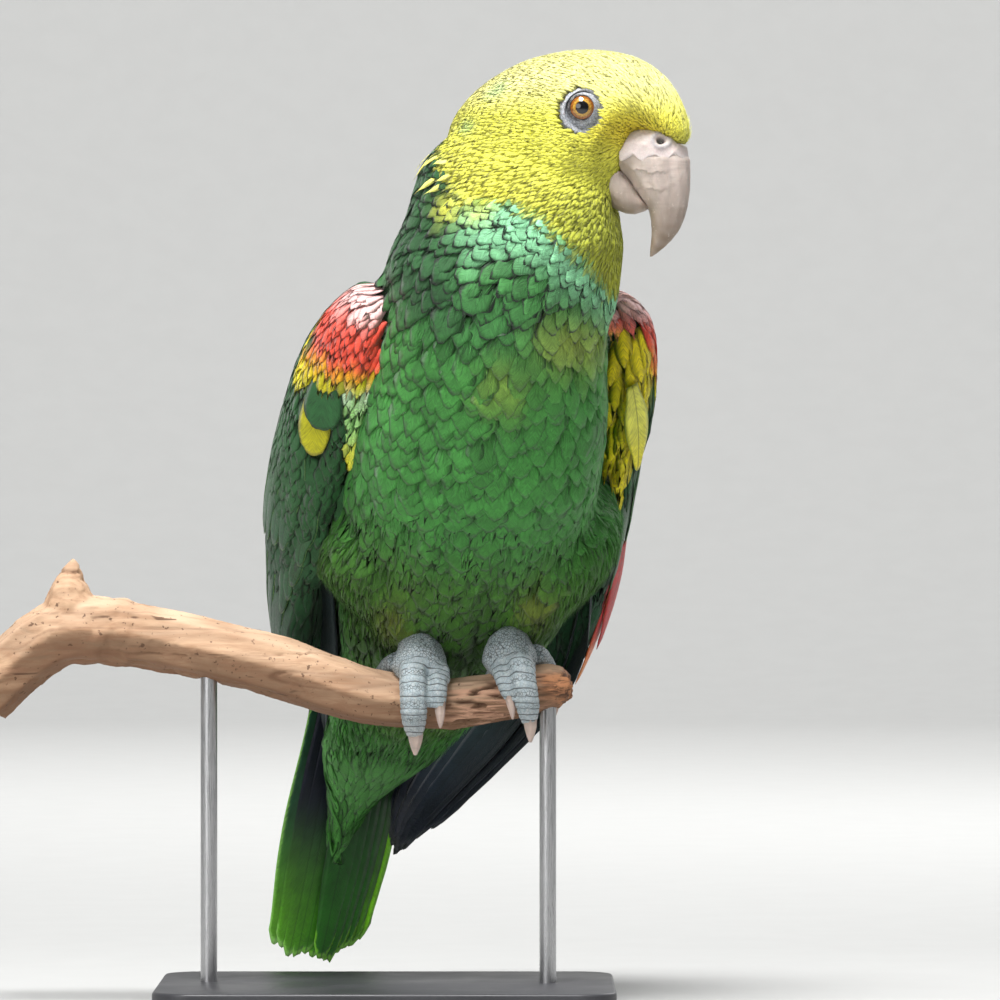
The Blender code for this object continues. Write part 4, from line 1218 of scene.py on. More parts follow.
def foot_mesh(side):
    """One foot and its toes, fused, with bulging plates and rounded, narrowing toe ends."""
    def swell(name):
        return 0.55 * MM if name.startswith("foot") else 0.35 * MM
    mesh = fused(FEET[side], sizes().foot_voxel, swell, 5)
    points = coordinates(mesh)
    distances = toe_distances(points, side)
    near = distances.min(axis=0)
    for toe, distance in zip(TOES, distances):
        run, radial, axis = along_claw(points, side, toe)
        across = np.linalg.norm(radial, axis=1) / MM
        own = 1 - step(distance - near, 0.1 * MM, 0.8 * MM)
        narrow = own * (1 - step(across, 5.5, 8.0)) * step(run, -6.5, 1.5)
        points = points - radial * (0.34 * narrow)[:, None] + axis * (1.2 * narrow * MM)[:, None]
    plates, on_toe = foot_relief(points, near)
    phase = np.abs(plates % 1 - 0.5) * 2
    height = on_toe * (0.32 * (1 - phase ** 3) - 0.16)
    move_vertices(mesh, points)
    move_vertices(mesh, points + vertex_normals(mesh) * height[:, None] * MM)
    return mesh, plates, on_toe


def build_skin():
    """One skin: the body without its coat's depth, the feet, and lids round the eyes."""
    source, surface = envelope()
    body = source.copy()
    shrink(body, surface)
    whole = bmesh.new()
    whole.from_mesh(body)
    smooth(whole, 2)
    body_count = len(whole.verts)
    feet = []                      # a row for each vertex: bare, count of plates, on a toe
    for side in SIDES:
        foot, plates, on_toe = foot_mesh(side)
        feet.append(np.column_stack([np.ones(len(plates)), plates, on_toe]))
        whole.from_mesh(foot)
    for side in SIDES:
        whole.from_mesh(mesh_from(lid_ring(side), "lids"))
    mesh = mesh_from(whole, "skin")
    points = coordinates(mesh)
    feet = np.concatenate(feet)
    rest = len(points) - body_count - len(feet)
    bare, plate, on_toe = np.pad(feet, ((body_count, rest), (0, 0))).T
    scales = bare + 0.7 * (1 - step(orbit_distance(points), ORBIT_WIDTH - 1, ORBIT_WIDTH))
    set_attributes(mesh, tint=skin_colours(points, bare), scales=clamp(scales),
                   plate=plate, on_toe=on_toe)
    toes = [name for side in SIDES for name in FEET[side]]
    add_piece("skin", mesh, finish("skin", skin_finish), "green_feathers", *FLESH, *toes)


def build_eyes():
    for side in SIDES:
        axis = eye_axis(side)
        shape = bmesh.new()
        bmesh.ops.create_uvsphere(shape, u_segments=64, v_segments=48, radius=EYE_RADIUS * MM)
        turn = Vector((0, 0, 1)).rotation_difference(axis).to_matrix()
        bmesh.ops.rotate(shape, verts=shape.verts, cent=(0, 0, 0), matrix=turn)
        for vert in shape.verts:
            share = vert.co.normalized().dot(axis)
            if share > 0.75:
                vert.co += axis * 0.35 * MM * ((share - 0.75) / 0.25) ** 1.5
        mesh = mesh_from(shape, "eye_ball_" + side)
        points = coordinates(mesh)
        across = flat_part(points, np.array(axis)[None])
        angle = np.degrees(np.arctan2(np.linalg.norm(across, axis=1), points @ np.array(axis)))
        turn = np.arctan2(points @ np.array(UP), points @ np.array(HEAD_FORWARD))
        set_attributes(mesh, gaze=angle, ray=np.sin(turn * 23) * 0.5 + np.sin(turn * 41) * 0.4)
        move_vertices(mesh, points + np.array(EYE_CENTRES[side]))
        add_piece("eyeball_" + side, mesh, finish("eye", eye_finish), "eye", "eye_" + side)


# ---- Contour feathers ----
def owned(surface, *names):
    return np.isin(surface.owner, names)


def tufted(surface, roots, draws, coat, vane, long, wide, sections, thickness, camber, depth,
           lift, yaw, vary=0.14, fray=0.0, colours=plumage, mottle=0.10, strength=1.0,
           shade=1.0):
    """Lays one kind of feather at the roots, coloured by the markings where it shows.

    Sizes are in millimetres, one for all or one for each: depth is how far the root lies under
    the surface and lift how far the tip stands over it. vary, mottle and yaw spread the
    lengths, the tints and the turns.
    """
    lengths = long * MM * np.exp(draws.normal(0, vary, len(roots)))
    turns = int(draws.integers(1 << 30))
    laid = depth * MM, lift * MM, yaw
    reach = lay(surface, roots, lengths, sections, random_draws(turns), *laid)[2]
    lengths = lengths * np.clip(reach + 0.1, 0.3, 1)
    lines, normals, _ = lay(surface, roots, lengths, sections, random_draws(turns), *laid)
    kept = reach > 0.6             # the rest would cross between body and wing
    tint, edge, dark = colours(lines[:, sections // 2])
    tips = colours(lines[:, -1])[0]
    mottled = np.exp(draws.normal(0, mottle, len(roots)))[:, None] * shade
    widths = wide * MM * np.exp(draws.normal(0, 0.10, len(roots)))
    rows = (lines, normals, widths, tint * mottled, edge, dark * strength, roots,
            blend(tint, tips, 0.6) * mottled)
    lines, normals, widths, tint, edge, dark, roots, tips = (row[kept] for row in rows)
    coat.add(vane, lines, normals, widths, thickness * MM, camber, tint, edge, dark, roots,
             draws, fray * MM, tips)


def in_rows(values, depth):
    """Picks the places near whole values, as deep as told: rows of feather roots."""
    return np.abs(values - np.round(values)) < depth / 2


def loose_barbs(surface, wanted, draws, coat, gap, long, wide, lift, yaw, shade=1.1):
    """Fine strands over the feathers, each a little lighter or darker than the plumage."""
    roots, _ = surface.scatter(wanted, gap * MM, draws)
    tufted(surface, roots, draws, coat, Barb(), long, wide, sections=5, thickness=wide,
           camber=0.0, depth=0.4, lift=lift, yaw=yaw, vary=0.3, mottle=0.22, strength=0.0,
           shade=shade)


def ticks(surface, wanted, gap, draws, coat):
    """Short dark and short pale barbs that stand at the feathers' frayed edges."""
    for shade in (0.3, 1.7):
        loose_barbs(surface, wanted, draws, coat, gap, long=4.2, wide=0.2, lift=0.35, yaw=0.18,
                    shade=shade)


def hood_plumage(points):
    """Feathers keep the colour of their roots, so that the hood ends in ragged tips."""
    return plumage(points - 4 * MM * flow(points))


def nape_yellow(points):
    # The pale crown yellow, with its painted highlight, made less blue here.
    hue = np.broadcast_to(tone("crown") * (1.0, 1.0, 0.6), (len(points), 3))
    return hue, hue, np.zeros(len(points))


def build_head_coat():
    """Small feathers of the hood, smallest on the face and round the eyes."""
    surface = envelope()[1]
    head = head_mm(surface.centres)
    ahead, over, _ = head.T
    distance = orbit_distance(surface.centres)
    face = spot((ahead - 32) / 16, (over + 2) / 22)
    ring = spot((distance - ORBIT_WIDTH) / 4, 0)
    gap = (0.93 - 0.22 * clamp(np.maximum(face, 0.8 * ring))) * MM
    covered = distance > ORBIT_WIDTH - 1.0
    on_head = owned(surface, "head")
    hooded = owned(surface, "neck") & (hood_height(head) > 0.5)
    vane = Vane(2, 3, root=0.6, tip=0.42, pull=0.4)
    for index, (name, wanted, spread) in enumerate((("coat_head", on_head, 1.0),
                                                    ("coat_hood", hooded, 1.35))):
        draws = random_draws(1 + index)
        roots, gaps = surface.scatter(wanted & covered, gap * spread, draws)
        size = gaps / MM
        coat = Coat(name)
        tufted(surface, roots, draws, coat, vane, sizes().head_tuft / MM * size ** 1.2,
               wide=2.1 * size, sections=5, thickness=0.08, camber=0.01, depth=0.7 * size,
               lift=0.0, yaw=0.10, fray=0.3, mottle=0.02,
               colours=plumage if name == "coat_head" else hood_plumage)
        if name == "coat_hood":
            poking = hooded & (ahead < -34) & (np.abs(hood_height(head)) < 5)
            roots, _ = surface.scatter(poking, 2.4 * MM, draws)
            tufted(surface, roots, draws, coat, Vane(2, 6, root=0.6, tip=0.1, pull=0.2),
                   long=11, wide=2.2, sections=6, thickness=0.16, camber=0.03, depth=1.0,
                   lift=1.6, yaw=0.2, vary=0.35, colours=nape_yellow)
        coat.build("yellow_feathers", "small head feathers")
    draws = random_draws(4)
    coat = Coat("coat_head_barbs")
    loose_barbs(surface, (on_head | hooded) & (distance > ORBIT_WIDTH + 1), draws, coat,
                gap=1.5, long=4.5, wide=0.16, lift=0.12, yaw=0.2)
    front = (ahead > 33) & (over < 5)
    loose_barbs(surface, on_head & front, draws, coat, gap=0.85, long=3.4, wide=0.18, lift=1.1,
                yaw=0.5, shade=1.7)
    coat.build("yellow_feathers", "small head feathers")


def build_neck_coat():
    """Broad scale-like feathers in rows that follow the hood's edge, longer further down."""
    surface = envelope()[1]
    draws = random_draws(5)
    above = hood_height(head_mm(surface.centres)) + 1.2 * ripple(surface.centres, 12, 51)
    scaly = owned(surface, "neck") & (above < 2.5)
    row = np.sqrt(9 + 2 * np.clip(-above + 0.5, 0, None)) - 3
    pitch = np.clip(3 + row, 3, 8.5)
    roots, gaps = surface.scatter(scaly & in_rows(row, 1.9 / pitch), pitch * 0.85 * MM, draws)
    size = gaps / 0.85 / MM
    coat = Coat("coat_neck")
    under, _ = surface.scatter(scaly, np.clip(pitch * 0.75, 2.4, 4.6) * MM, draws)
    tufted(surface, under, draws, coat, Vane(4, 6, root=0.5, tip=0.6, pull=0.3), long=13,
           wide=8.5, sections=6, thickness=0.16, camber=0.04, depth=2.0, lift=0.02, yaw=0.12,
           fray=0.4)
    tufted(surface, roots, draws, coat, Vane(4, 7, root=0.55, tip=0.6, pull=0.34, belly=0.6),
           long=size * 2.1 + 2, wide=size * 1.65, sections=7, thickness=0.22, camber=0.05,
           depth=2.0 * np.sqrt(pitch.mean() / 6), lift=0.3, yaw=0.10, fray=0.45, mottle=0.14)
    coat.build()
    coat = Coat("coat_neck_barbs")
    loose_barbs(surface, scaly, draws, coat, gap=1.9, long=5.5, wide=0.22, lift=0.4, yaw=0.2)
    ticks(surface, scaly, 2.4, draws, coat)
    coat.build()


ROW_PITCH = 8.0                    # between the rows of the breast's and back's feathers


def build_body_coat():
    """Broad feathers in rows over the breast and back, with fine barbs over them."""
    surface = envelope()[1]
    centres = surface.centres
    height = body_mm(centres)[:, 0]
    row = (height + 2.4 * ripple(centres, 22, 52) + ripple(centres, 8, 53)) / ROW_PITCH
    front = owned(surface, "breast", "belly")
    rear = owned(surface, "mantle", "back", "rump")
    broad = Vane(4, 8, root=0.5, tip=0.62, pull=0.30, belly=0.6)
    plain = Vane(4, 7, root=0.4, tip=0.62, pull=0.28, belly=0.6)
    long = sizes().body_feather / MM
    for index, (name, wanted) in enumerate((("coat_breast", front), ("coat_back", rear))):
        draws = random_draws(10 + index)
        roots, _ = surface.scatter(wanted & in_rows(row, 0.27), 5.6 * MM, draws)
        coat = Coat(name)
        tufted(surface, roots, draws, coat, broad, long, wide=12.5, sections=8, thickness=0.2,
               camber=0.03, depth=2.0, lift=0.2, yaw=0.08, fray=0.45, mottle=0.09)
        roots, _ = surface.scatter(wanted, 5.0 * MM, draws)
        tufted(surface, roots, draws, coat, plain, long, wide=10, sections=7, thickness=0.16,
               camber=0.04, depth=2.0, lift=0.05, yaw=0.10, fray=0.4, mottle=0.09)
        coat.build()
    draws = random_draws(15)
    coat = Coat("coat_body_barbs")
    loose_barbs(surface, front, draws, coat, gap=1.7, long=6.5, wide=0.22, lift=0.3, yaw=0.15)
    ticks(surface, front, 2.6, draws, coat)
    loose_barbs(surface, rear, draws, coat, gap=2.6, long=6.5, wide=0.28, lift=0.4, yaw=0.16)
    coat.build()


def build_soft_coat():
    """Hair-like feathers of the belly, thighs and vent."""
    surface = envelope()[1]
    draws = random_draws(20)
    thighs = owned(surface, "thigh_left", "thigh_right", "vent")
    tuft = Vane(2, 5, root=0.5, tip=0.25, pull=0.35, belly=0.5)
    coat = Coat("coat_soft")
    for wanted, gap in ((thighs, 2.1), (owned(surface, "belly"), 2.9)):
        roots, _ = surface.scatter(wanted, gap * MM, draws)
        tufted(surface, roots, draws, coat, tuft, sizes().belly_tuft / MM, wide=2.4,
               sections=6, thickness=0.3, camber=0.06, depth=1.8, lift=0.55, yaw=0.22,
               vary=0.25, fray=0.6, mottle=0.15)
    coat.build()
    coat = Coat("coat_soft_barbs")
    loose_barbs(surface, thighs, draws, coat, gap=1.5, long=10.5, wide=0.3, lift=2.0, yaw=0.32)
    coat.build()


def build_undertail():
    """Long soft coverts under and over the tail's root."""
    surface = envelope()[1]
    draws = random_draws(24)
    wanted = owned(surface, "tail_coverts")
    roots, _ = surface.scatter(wanted, 4.2 * MM, draws)
    coat = Coat("coat_undertail")
    tufted(surface, roots, draws, coat, Vane(4, 7, root=0.5, tip=0.25, pull=0.2, belly=0.4),
           long=26, wide=7.5, sections=8, thickness=0.3, camber=0.05, depth=1.5, lift=0.3,
           yaw=0.06, fray=0.5)
    loose_barbs(surface, wanted, draws, coat, gap=2.4, long=8.0, wide=0.28, lift=0.5, yaw=0.15)
    coat.build()


# ---- Wings and tail ----
def wing_parts(side, *parts):
    return tuple("wing_%s_%s" % (side, part) for part in parts)


# A round dark covert and the broad yellow one under it: height, place out to the side and place
# out of the breast of the root and of the tip, width, lift (mm).
BADGE = (("badge", (24, 64.4, -6.0), (-1.8, 62.4, -2.0), 13.8, 1.0),
         ("covert", (29, 62.2, -4.2), (9.4, 61.9, -1.0), 16.0, 1.8))


def build_wing_coverts():
    """Small coverts on the bend of each wing, longer ones down its front edge."""
    surface = envelope()[1]
    pointed = Vane(2, 7, root=0.55, tip=0.18, pull=0.35, belly=0.45)
    rounded = Vane(4, 7, root=0.5, tip=0.45, pull=0.3, belly=0.5)
    up, right, front = body_mm(surface.centres).T
    out = np.abs(right)
    badge = ((np.hypot((out - 62) / 7, (up - 11) / 13) < 1) & (front > -13) & (front < 2)
             & (right > 0))        # place of the broad feathers, laid one by one
    for index, (side, sign) in enumerate(SIDES.items()):
        draws = random_draws(30 + index)
        coat = Coat("coverts_" + side)
        faces_out = surface.face_normals @ (sign * RIGHTWARD)
        shoulder = owned(surface, *wing_parts(side, "shoulder")) & ~badge
        middle = owned(surface, *wing_parts(side, "coverts")) & ~badge
        lower = owned(surface, *wing_parts(side, "secondaries"))
        edge = (front > -5) & (side == "left")
        # Where, the gap between roots, shape, length and width (mm), and sections.
        for wanted, gap, vane, long, wide, sections in (
                ((shoulder | middle) & edge, 4.0, pointed, 24, 6.0, 9),
                (shoulder & (up > 5) & ~edge, 2.3, pointed, sizes().covert / MM, 4.4, 6),
                (((shoulder & (up < 8)) | middle) & ~edge, 3.2, rounded, 13, 7.0, 7),
                (lower & (faces_out < 0.55), 4.6, rounded, 26, 8.0, 8)):
            if wanted.any():
                roots, _ = surface.scatter(wanted, gap * MM, draws)
                tufted(surface, roots, draws, coat, vane, long, wide, sections, thickness=0.16,
                       camber=0.03, depth=1.0, lift=0.06, yaw=0.07, fray=0.25,
                       colours=wing_markings, mottle=0.06)
        for name, root, tip, wide, lift in BADGE if side == "right" else ():
            start, end = from_body(*root), from_body(*tip)
            lines, normals, _ = lay(surface, start[None], np.linalg.norm(end - start)[None], 12,
                                    draws, 1.6 * MM, lift * MM, yaw=0.0, follow=1.0,
                                    direction=(end - start)[None])
            hue = tone(name)[None]
            coat.add(Vane(8, 14, root=0.75, tip=0.8, pull=0.16, belly=0.6), lines, normals,
                     width=wide * MM, thickness=0.3 * MM, camber=0.03, tint=hue, edge=hue,
                     strength=0.0, roots=lines[:, 0], draws=draws, fray=0.2 * MM,
                     tips=hue * 1.05)
        coat.build("shoulder_feathers")


# Rows of long feathers on a folded wing. Each row: count, then from its first feather (at the
# wing's front edge) to its last: height of root, place of root across the wing (0 front, 1
# rear), height of tip, place of tip, width and height over the wing (mm).
WING_ROWS = {
    "primaries": (10, (-44, -62), (0.10, 0.90), (-170, -152), (0.0, 0.9), (13, 14.5),
                  (-1.6, 0.1)),
    "secondaries": (10, (-8, 4), (0.12, 0.92), (-94, -112), (0.10, 0.95), (12.5, 14), (0.2, 1.3)),
    "greater_coverts": (8, (4, 22), (0.20, 0.95), (-44, -54), (0.18, 0.95), (11.5, 13),
                        (0.9, 1.7)),
    "alula": (4, (-12, -16), (0.02, 0.16), (-50, -72), (0.03, 0.12), (8.5, 9), (0.9, 0.7)),
}
# How much lower the primaries' tips end than told, from the first to the last (mm).
PRIMARY_REACH = (0, 9, 16, 21, 25, 27, 28, 28, 26, 20)
# Long bright feathers at the left wing's outer limb: height, place to the right and place out
# of the breast of the root and of the tip, width, how much it faces the breast's way, colours
# of the feather and of its tip.
SPECULUM = (((-40, -64.2, -8), (-87, -62.3, -10), 9, 0.72, "crimson", "crimson"),
            ((-58, -63, -8), (-103, -57.2, -12), 7.5, 0.7, "crimson", "orange"),
            ((31, -49.5, 6), (-4, -58, 5.6), 11, 0.93, "lemon", "sun"))


def wing_row(name, side):
    """Colours at the root, at the tip and of the edges of one row's feathers."""
    count = WING_ROWS[name][0]
    rank = np.linspace(0, 1, count)
    even = np.ones((count, 1))
    green, navy = tone("flight") * even, tone("navy") * even
    if name == "primaries":
        return blend(navy, green, 0.2 + 0.2 * rank), navy, blend(navy, "pale", 0.05 * rank)
    if name == "secondaries":
        outer = (rank < (0.5 if side == "left" else -1)).astype(float)
        root = blend(green * 1.2, "crimson", outer)
        return root, blend(green, blend(navy, "crimson", 0.6), outer), blend(
            blend(green, "pale", 0.55), tone("crimson") * 1.6, outer * 0.8)
    bright = tone("covert") * even
    return bright, green * 1.2, blend(bright, "pale", 0.45 * even[:, 0])


def build_flight_feathers():
    """Primaries, secondaries and long coverts of each wing, one vane for each feather."""
    for index, side in enumerate(SIDES):
        draws = random_draws(40 + index)
        outer, inner = (Relief(wing_parts(side, *WING_LENGTHS), sign)
                        for sign in (SIDES[side], -SIDES[side]))
        for name, details in WING_ROWS.items():
            count = details[0]
            ups, across, tips, tip_across, widths, lifts = (
                np.linspace(first, last, count) for first, last in details[1:])
            if name == "primaries":
                tips = tips - np.array(PRIMARY_REACH) * (1.0 if side == "left" else 0.4)
                if side == "left":
                    tip_across = np.linspace(-0.5, 1.3, count)
            ups, tips = ups + draws.normal(0, 0.8, count), tips + draws.normal(0, 1.2, count)
            sections = 16
            part = np.linspace(0, 1, sections)[None, :]
            up = ups[:, None] * (1 - part) + tips[:, None] * part
            share = across[:, None] * (1 - part) + tip_across[:, None] * part
            half = widths[:, None] / 2
            front = outer.across(up, share)
            low, high = outer.across(up, 1.0), outer.across(up, 0.0)
            inset = (-1.0, -1.2) if (name, side) == ("primaries", "left") else (0.7, 0.5)
            front = np.clip(front, low + inset[0] * half, high - inset[1] * half)
            rise = lifts[:, None] - 1.2 * (1 - part) + 0.25 * part ** 2
            points, normals = outer.place(up, front, rise)
            if name == "primaries":
                under, _ = inner.place(up, front, 0 * rise)
                layer = (0.25 + 0.7 * np.linspace(0, 1, count))[:, None, None]
                points = under + (points - under) * layer
                if side == "right":    # these pass in under the body and behind the tail
                    points = points - MM * (14 * np.sqrt(part.T) * RIGHTWARD
                                            + 15 * part.T ** 2 * FRONTWARD)
            root, tip, edge = wing_row(name, side)
            jitter = np.exp(draws.normal(0, 0.05, count))[:, None]
            coat = Coat("%s_%s" % (name, side))
            body = dict(thickness=0.55 * MM, camber=0.05, draws=draws, fray=0.1 * MM)
            coat.add(Vane(6, 18, root=0.5, tip=0.55, pull=0.10, belly=0.4), points, normals,
                     width=widths * MM, tint=root * jitter, edge=edge, strength=0.9,
                     roots=points[:, 0], tips=tip * jitter, **body)
            if (name, side) == ("secondaries", "left"):
                for first, last, wide, ahead, tint, end in SPECULUM:
                    line = from_body(*first) + part.T * (from_body(*last) - from_body(*first))
                    line = line - 5 * MM * (part.T * (1 - part.T)) * RIGHTWARD
                    out = ahead * FRONTWARD - math.sqrt(1 - ahead ** 2) * RIGHTWARD
                    hue = tone(tint)[None]
                    coat.add(Vane(6, 18, root=0.5, tip=0.4, pull=0.12, belly=0.4), line[None],
                             np.broadcast_to(out, line.shape)[None], width=wide * MM, tint=hue,
                             edge=blend(hue, "pale", 0.12), strength=1.0, roots=line[:1],
                             tips=blend(hue, end, 0.8), **body)
            replaced = wing_parts(side, "primaries") if name == "primaries" else ()
            coat.build("flight_feathers", "flight feathers", replaced)


TAIL_ROOT, TAIL_END = -128, -240   # down the back
TAIL_ROUND = 9                     # how much shorter the outer feathers are


def build_tail():
    """Twelve tail feathers: in each half, each lies in front of the next on the bird's left."""
    draws = random_draws(50)
    part = np.linspace(0, 1, 20)
    green, bright, navy = tone("tail"), tone("tail_end"), tone("navy")
    # Painted shade: a dark blue-green for the root of the outer feather on the bird's right, where
    # the coverts and wing shade the tail.
    dark = tone("covert") * (0.5, 0.8, 1.2)
    rows = []
    for right in (True, False):
        sign = 1 if right else -1
        for rank in range(6):
            last, outer = rank == 5, rank / 5
            end = TAIL_END + TAIL_ROUND * outer ** 2 + draws.normal(0, 1.0)
            spread = 0.9 + 1.1 * (1 - part) ** 1.5 if right else 0.25
            shift = 8.5 + 4.5 * part + sign * (1.2 + rank * (2.0 + 0.55 * part + spread))
            layer = rank if right else 5 - rank
            front = TAIL_DEPTH - 1.2 + 0.5 * layer + 0.12 * right + 1.6 * part ** 2
            line = from_body(TAIL_ROOT + (end - TAIL_ROOT) * part, shift, front)
            normal = np.broadcast_to(FRONTWARD - 0.08 * sign * rank * RIGHTWARD, line.shape)
            hue = green * math.exp(draws.normal(0, 0.08))
            # Painted shade: the roots are navy or a darkened green where the coverts and wings
            # shade the tail, and on the bird's left the inner feathers stay darker to their tips.
            if right:
                root = dark if last else navy
                tip = blend(hue * 1.1, bright, 0.15 + 0.4 * outer)
            else:
                root = blend(blend(hue * 0.45, navy, 0.35), bright, 0.8 * last)
                tip = blend(hue * 0.8, bright * 1.15, 1.0 * last + 0.25 * (rank == 4))
            edge = blend(bright, "pale", (0.45 if right else 0.12) * outer)
            rows.append((line, normal, (13.0 + 0.2 * rank) * MM, root, tip, edge,
                         0.9 if last else 0.2, sign * last))
    lines, normals, widths, roots, tips, edges, strengths, leans = map(np.array, zip(*rows))
    coat = Coat("tail")
    coat.add(Vane(6, 24, root=0.55, tip=0.62, pull=0.07, belly=0.5), lines, normals, widths,
             thickness=0.6 * MM, camber=0.04, tint=roots, edge=edges, strength=strengths,
             roots=lines[:, 0], draws=draws, fray=0.5 * MM, tips=tips, lean=leans, end=1.2)
    coat.build("tail_feathers", "tail feathers", TAIL)


# ---- Bill, cere and claws ----
def layer_lip(distance, height, reach):
    """A worn layer's edge: a sharp step up at distance 0 that fades away beyond it."""
    return np.where(distance > 0, height * np.exp(-distance / reach), 0)


# Places forward and up from the head's centre.
MOUTH_LINE = ((17, -10), (22, -13), (25, -17), (28.5, -22), (31, -25.5))
NOSTRIL = (36.5, -0.9)
NOSTRIL_RADIUS = 1.5


def distance_to_line(places, line):
    """Distance of flat places from a line of joined points."""
    best = np.full(len(places), np.inf)
    for first, second in zip(line, line[1:]):
        first, second = np.array(first), np.array(second)
        run = second - first
        share = clamp((places - first) @ run / (run @ run))[:, None]
        best = np.minimum(best, np.linalg.norm(places - first - share * run, axis=1))
    return best


def build_bill():
    """Upper bill, which runs up under the cere, and lower bill, which meets it."""
    for name, solids in (("bill_upper", ("bill_upper", "cere")), ("bill_lower", ("bill_lower",))):
        mesh = fused(solids, sizes().horn_voxel, 0.16 * MM, 8)
        points, normals = coordinates(mesh), vertex_normals(mesh)
        head = head_mm(points)
        ahead, over, aside = head.T
        wave, fine = ripple(points, 3.0, 11), ripple(points, 1.1, 12)
        grow = 0.06 * ripple(points, 1.6, 13) - 0.16
        if name == "bill_upper":
            first = over + 12.2 + 1.5 * wave + 0.6 * fine
            second = over + 18.2 + 1.2 * wave + 0.6 * fine
            inner = step(ahead, 25, 27) * (1 - step(ahead, 36, 40))
            grow += layer_lip(first, 0.42, 2.6) * inner + layer_lip(second, 0.34, 2.2) * inner
            tip = step(-over, 12, 40) * 0.9 + 0.4 * step(-ahead, -32, -24)
            grow -= 0.35 * step(over, -8, -5.5)
            hole = np.hypot(ahead - NOSTRIL[0], over - NOSTRIL[1])
            grow -= 3.2 * (1 - step(hole, 1.6, 3.2)) * (np.abs(aside) > 2.5)
        else:
            near = 1 - step(distance_to_line(head[:, :2], MOUTH_LINE), 2.5, 8.0)
            shift = 1.6 * (HEAD_AXES[0] * 0.8 + HEAD_AXES[1] * 0.6)
            points = points + (near[:, None] * shift + 2.3 * HEAD_AXES[1]) * MM
            ridge = over + 17.0 + 1.2 * wave + 0.35 * (ahead - 24)
            grow += layer_lip(ridge, 0.32, 2.4)
            # The lower bill is a little browner all over, and browner still on its underside as
            # painted shade.
            tip = 0.25 + 0.4 * step(-over, 18, 28)
        move_vertices(mesh, points + normals * grow[:, None] * MM)
        set_attributes(mesh, tip=clamp(tip * (0.85 + 0.3 * wave)))
        material = finish("bill horn", horn_finish, "bill horn", tone("horn"),
                          tone("horn_dark"))
        add_piece("shell_" + name, mesh, material, "bill_horn", name)


def build_cere():
    """Bare skin over the bill's root, with a wavy lower edge that lies on the horn."""
    mesh = fused(("cere",), 0.36 * MM, 0.25 * MM, 4)
    points, normals = coordinates(mesh), vertex_normals(mesh)
    ahead, over, aside = head_mm(points).T
    reach = np.hypot((ahead - NOSTRIL[0]) / 1.15, over - NOSTRIL[1])
    outer = np.abs(aside) > 2.5
    hole = (1 - step(reach, NOSTRIL_RADIUS * 0.55, NOSTRIL_RADIUS * 1.15)) * outer
    rim = np.exp(-((reach - NOSTRIL_RADIUS * 1.75) / 0.8) ** 2) * outer
    grow = 0.55 * rim - 1.9 * hole + 0.12 * ripple(points, 1.3, 3) + 0.06 * ripple(points, 0.6, 4)
    low = step(-over, 3.6, 6.0)
    drop = low * (0.8 + 1.0 * np.sin(ahead * 0.85 + 1.0) + 0.5 * ripple(points, 1.6, 8))
    places = points + normals * (grow * (1 - 0.8 * low))[:, None] * MM
    places[:, 2] -= drop * MM
    move_vertices(mesh, places)
    tint = blend("cere", tone("cere") * (1.1, 1.12, 1.15), low)
    tint = blend(tint, tone("foot") * (0.75, 0.65, 0.7), 0.55 * rim)
    # Painted shade: near black inside the nostrils.
    tint = blend(tint, (0.012, 0.008, 0.008), hole)
    set_attributes(mesh, tint=tint, scales=np.full(len(points), 0.22))
    add_piece("cere_skin", mesh, finish("skin", skin_finish), "cere_skin", "cere")


def build_claws():
    for side in SIDES:
        for toe in TOES:
            name = "claw_%s_%s" % (side, toe)
            mesh = fused((name,), 0.26 * MM, 0.12 * MM, 3)
            points = coordinates(mesh)
            run, radial, axis = along_claw(points, side, toe)
            base = 1 - step(run, 0.0, 3.0)
            points = (points + radial * (0.22 + 0.1 * base)[:, None]
                      - axis * (3.0 * base * MM)[:, None])
            move_vertices(mesh, points)
            set_attributes(mesh, tip=0.7 * base)
            material = finish("claw horn", horn_finish, "claw horn",
                              tone("horn") * (0.95, 0.88, 0.85), tone("horn_dark") * 0.5)
            add_piece("shell_" + name, mesh, material, "claw_horn", name)


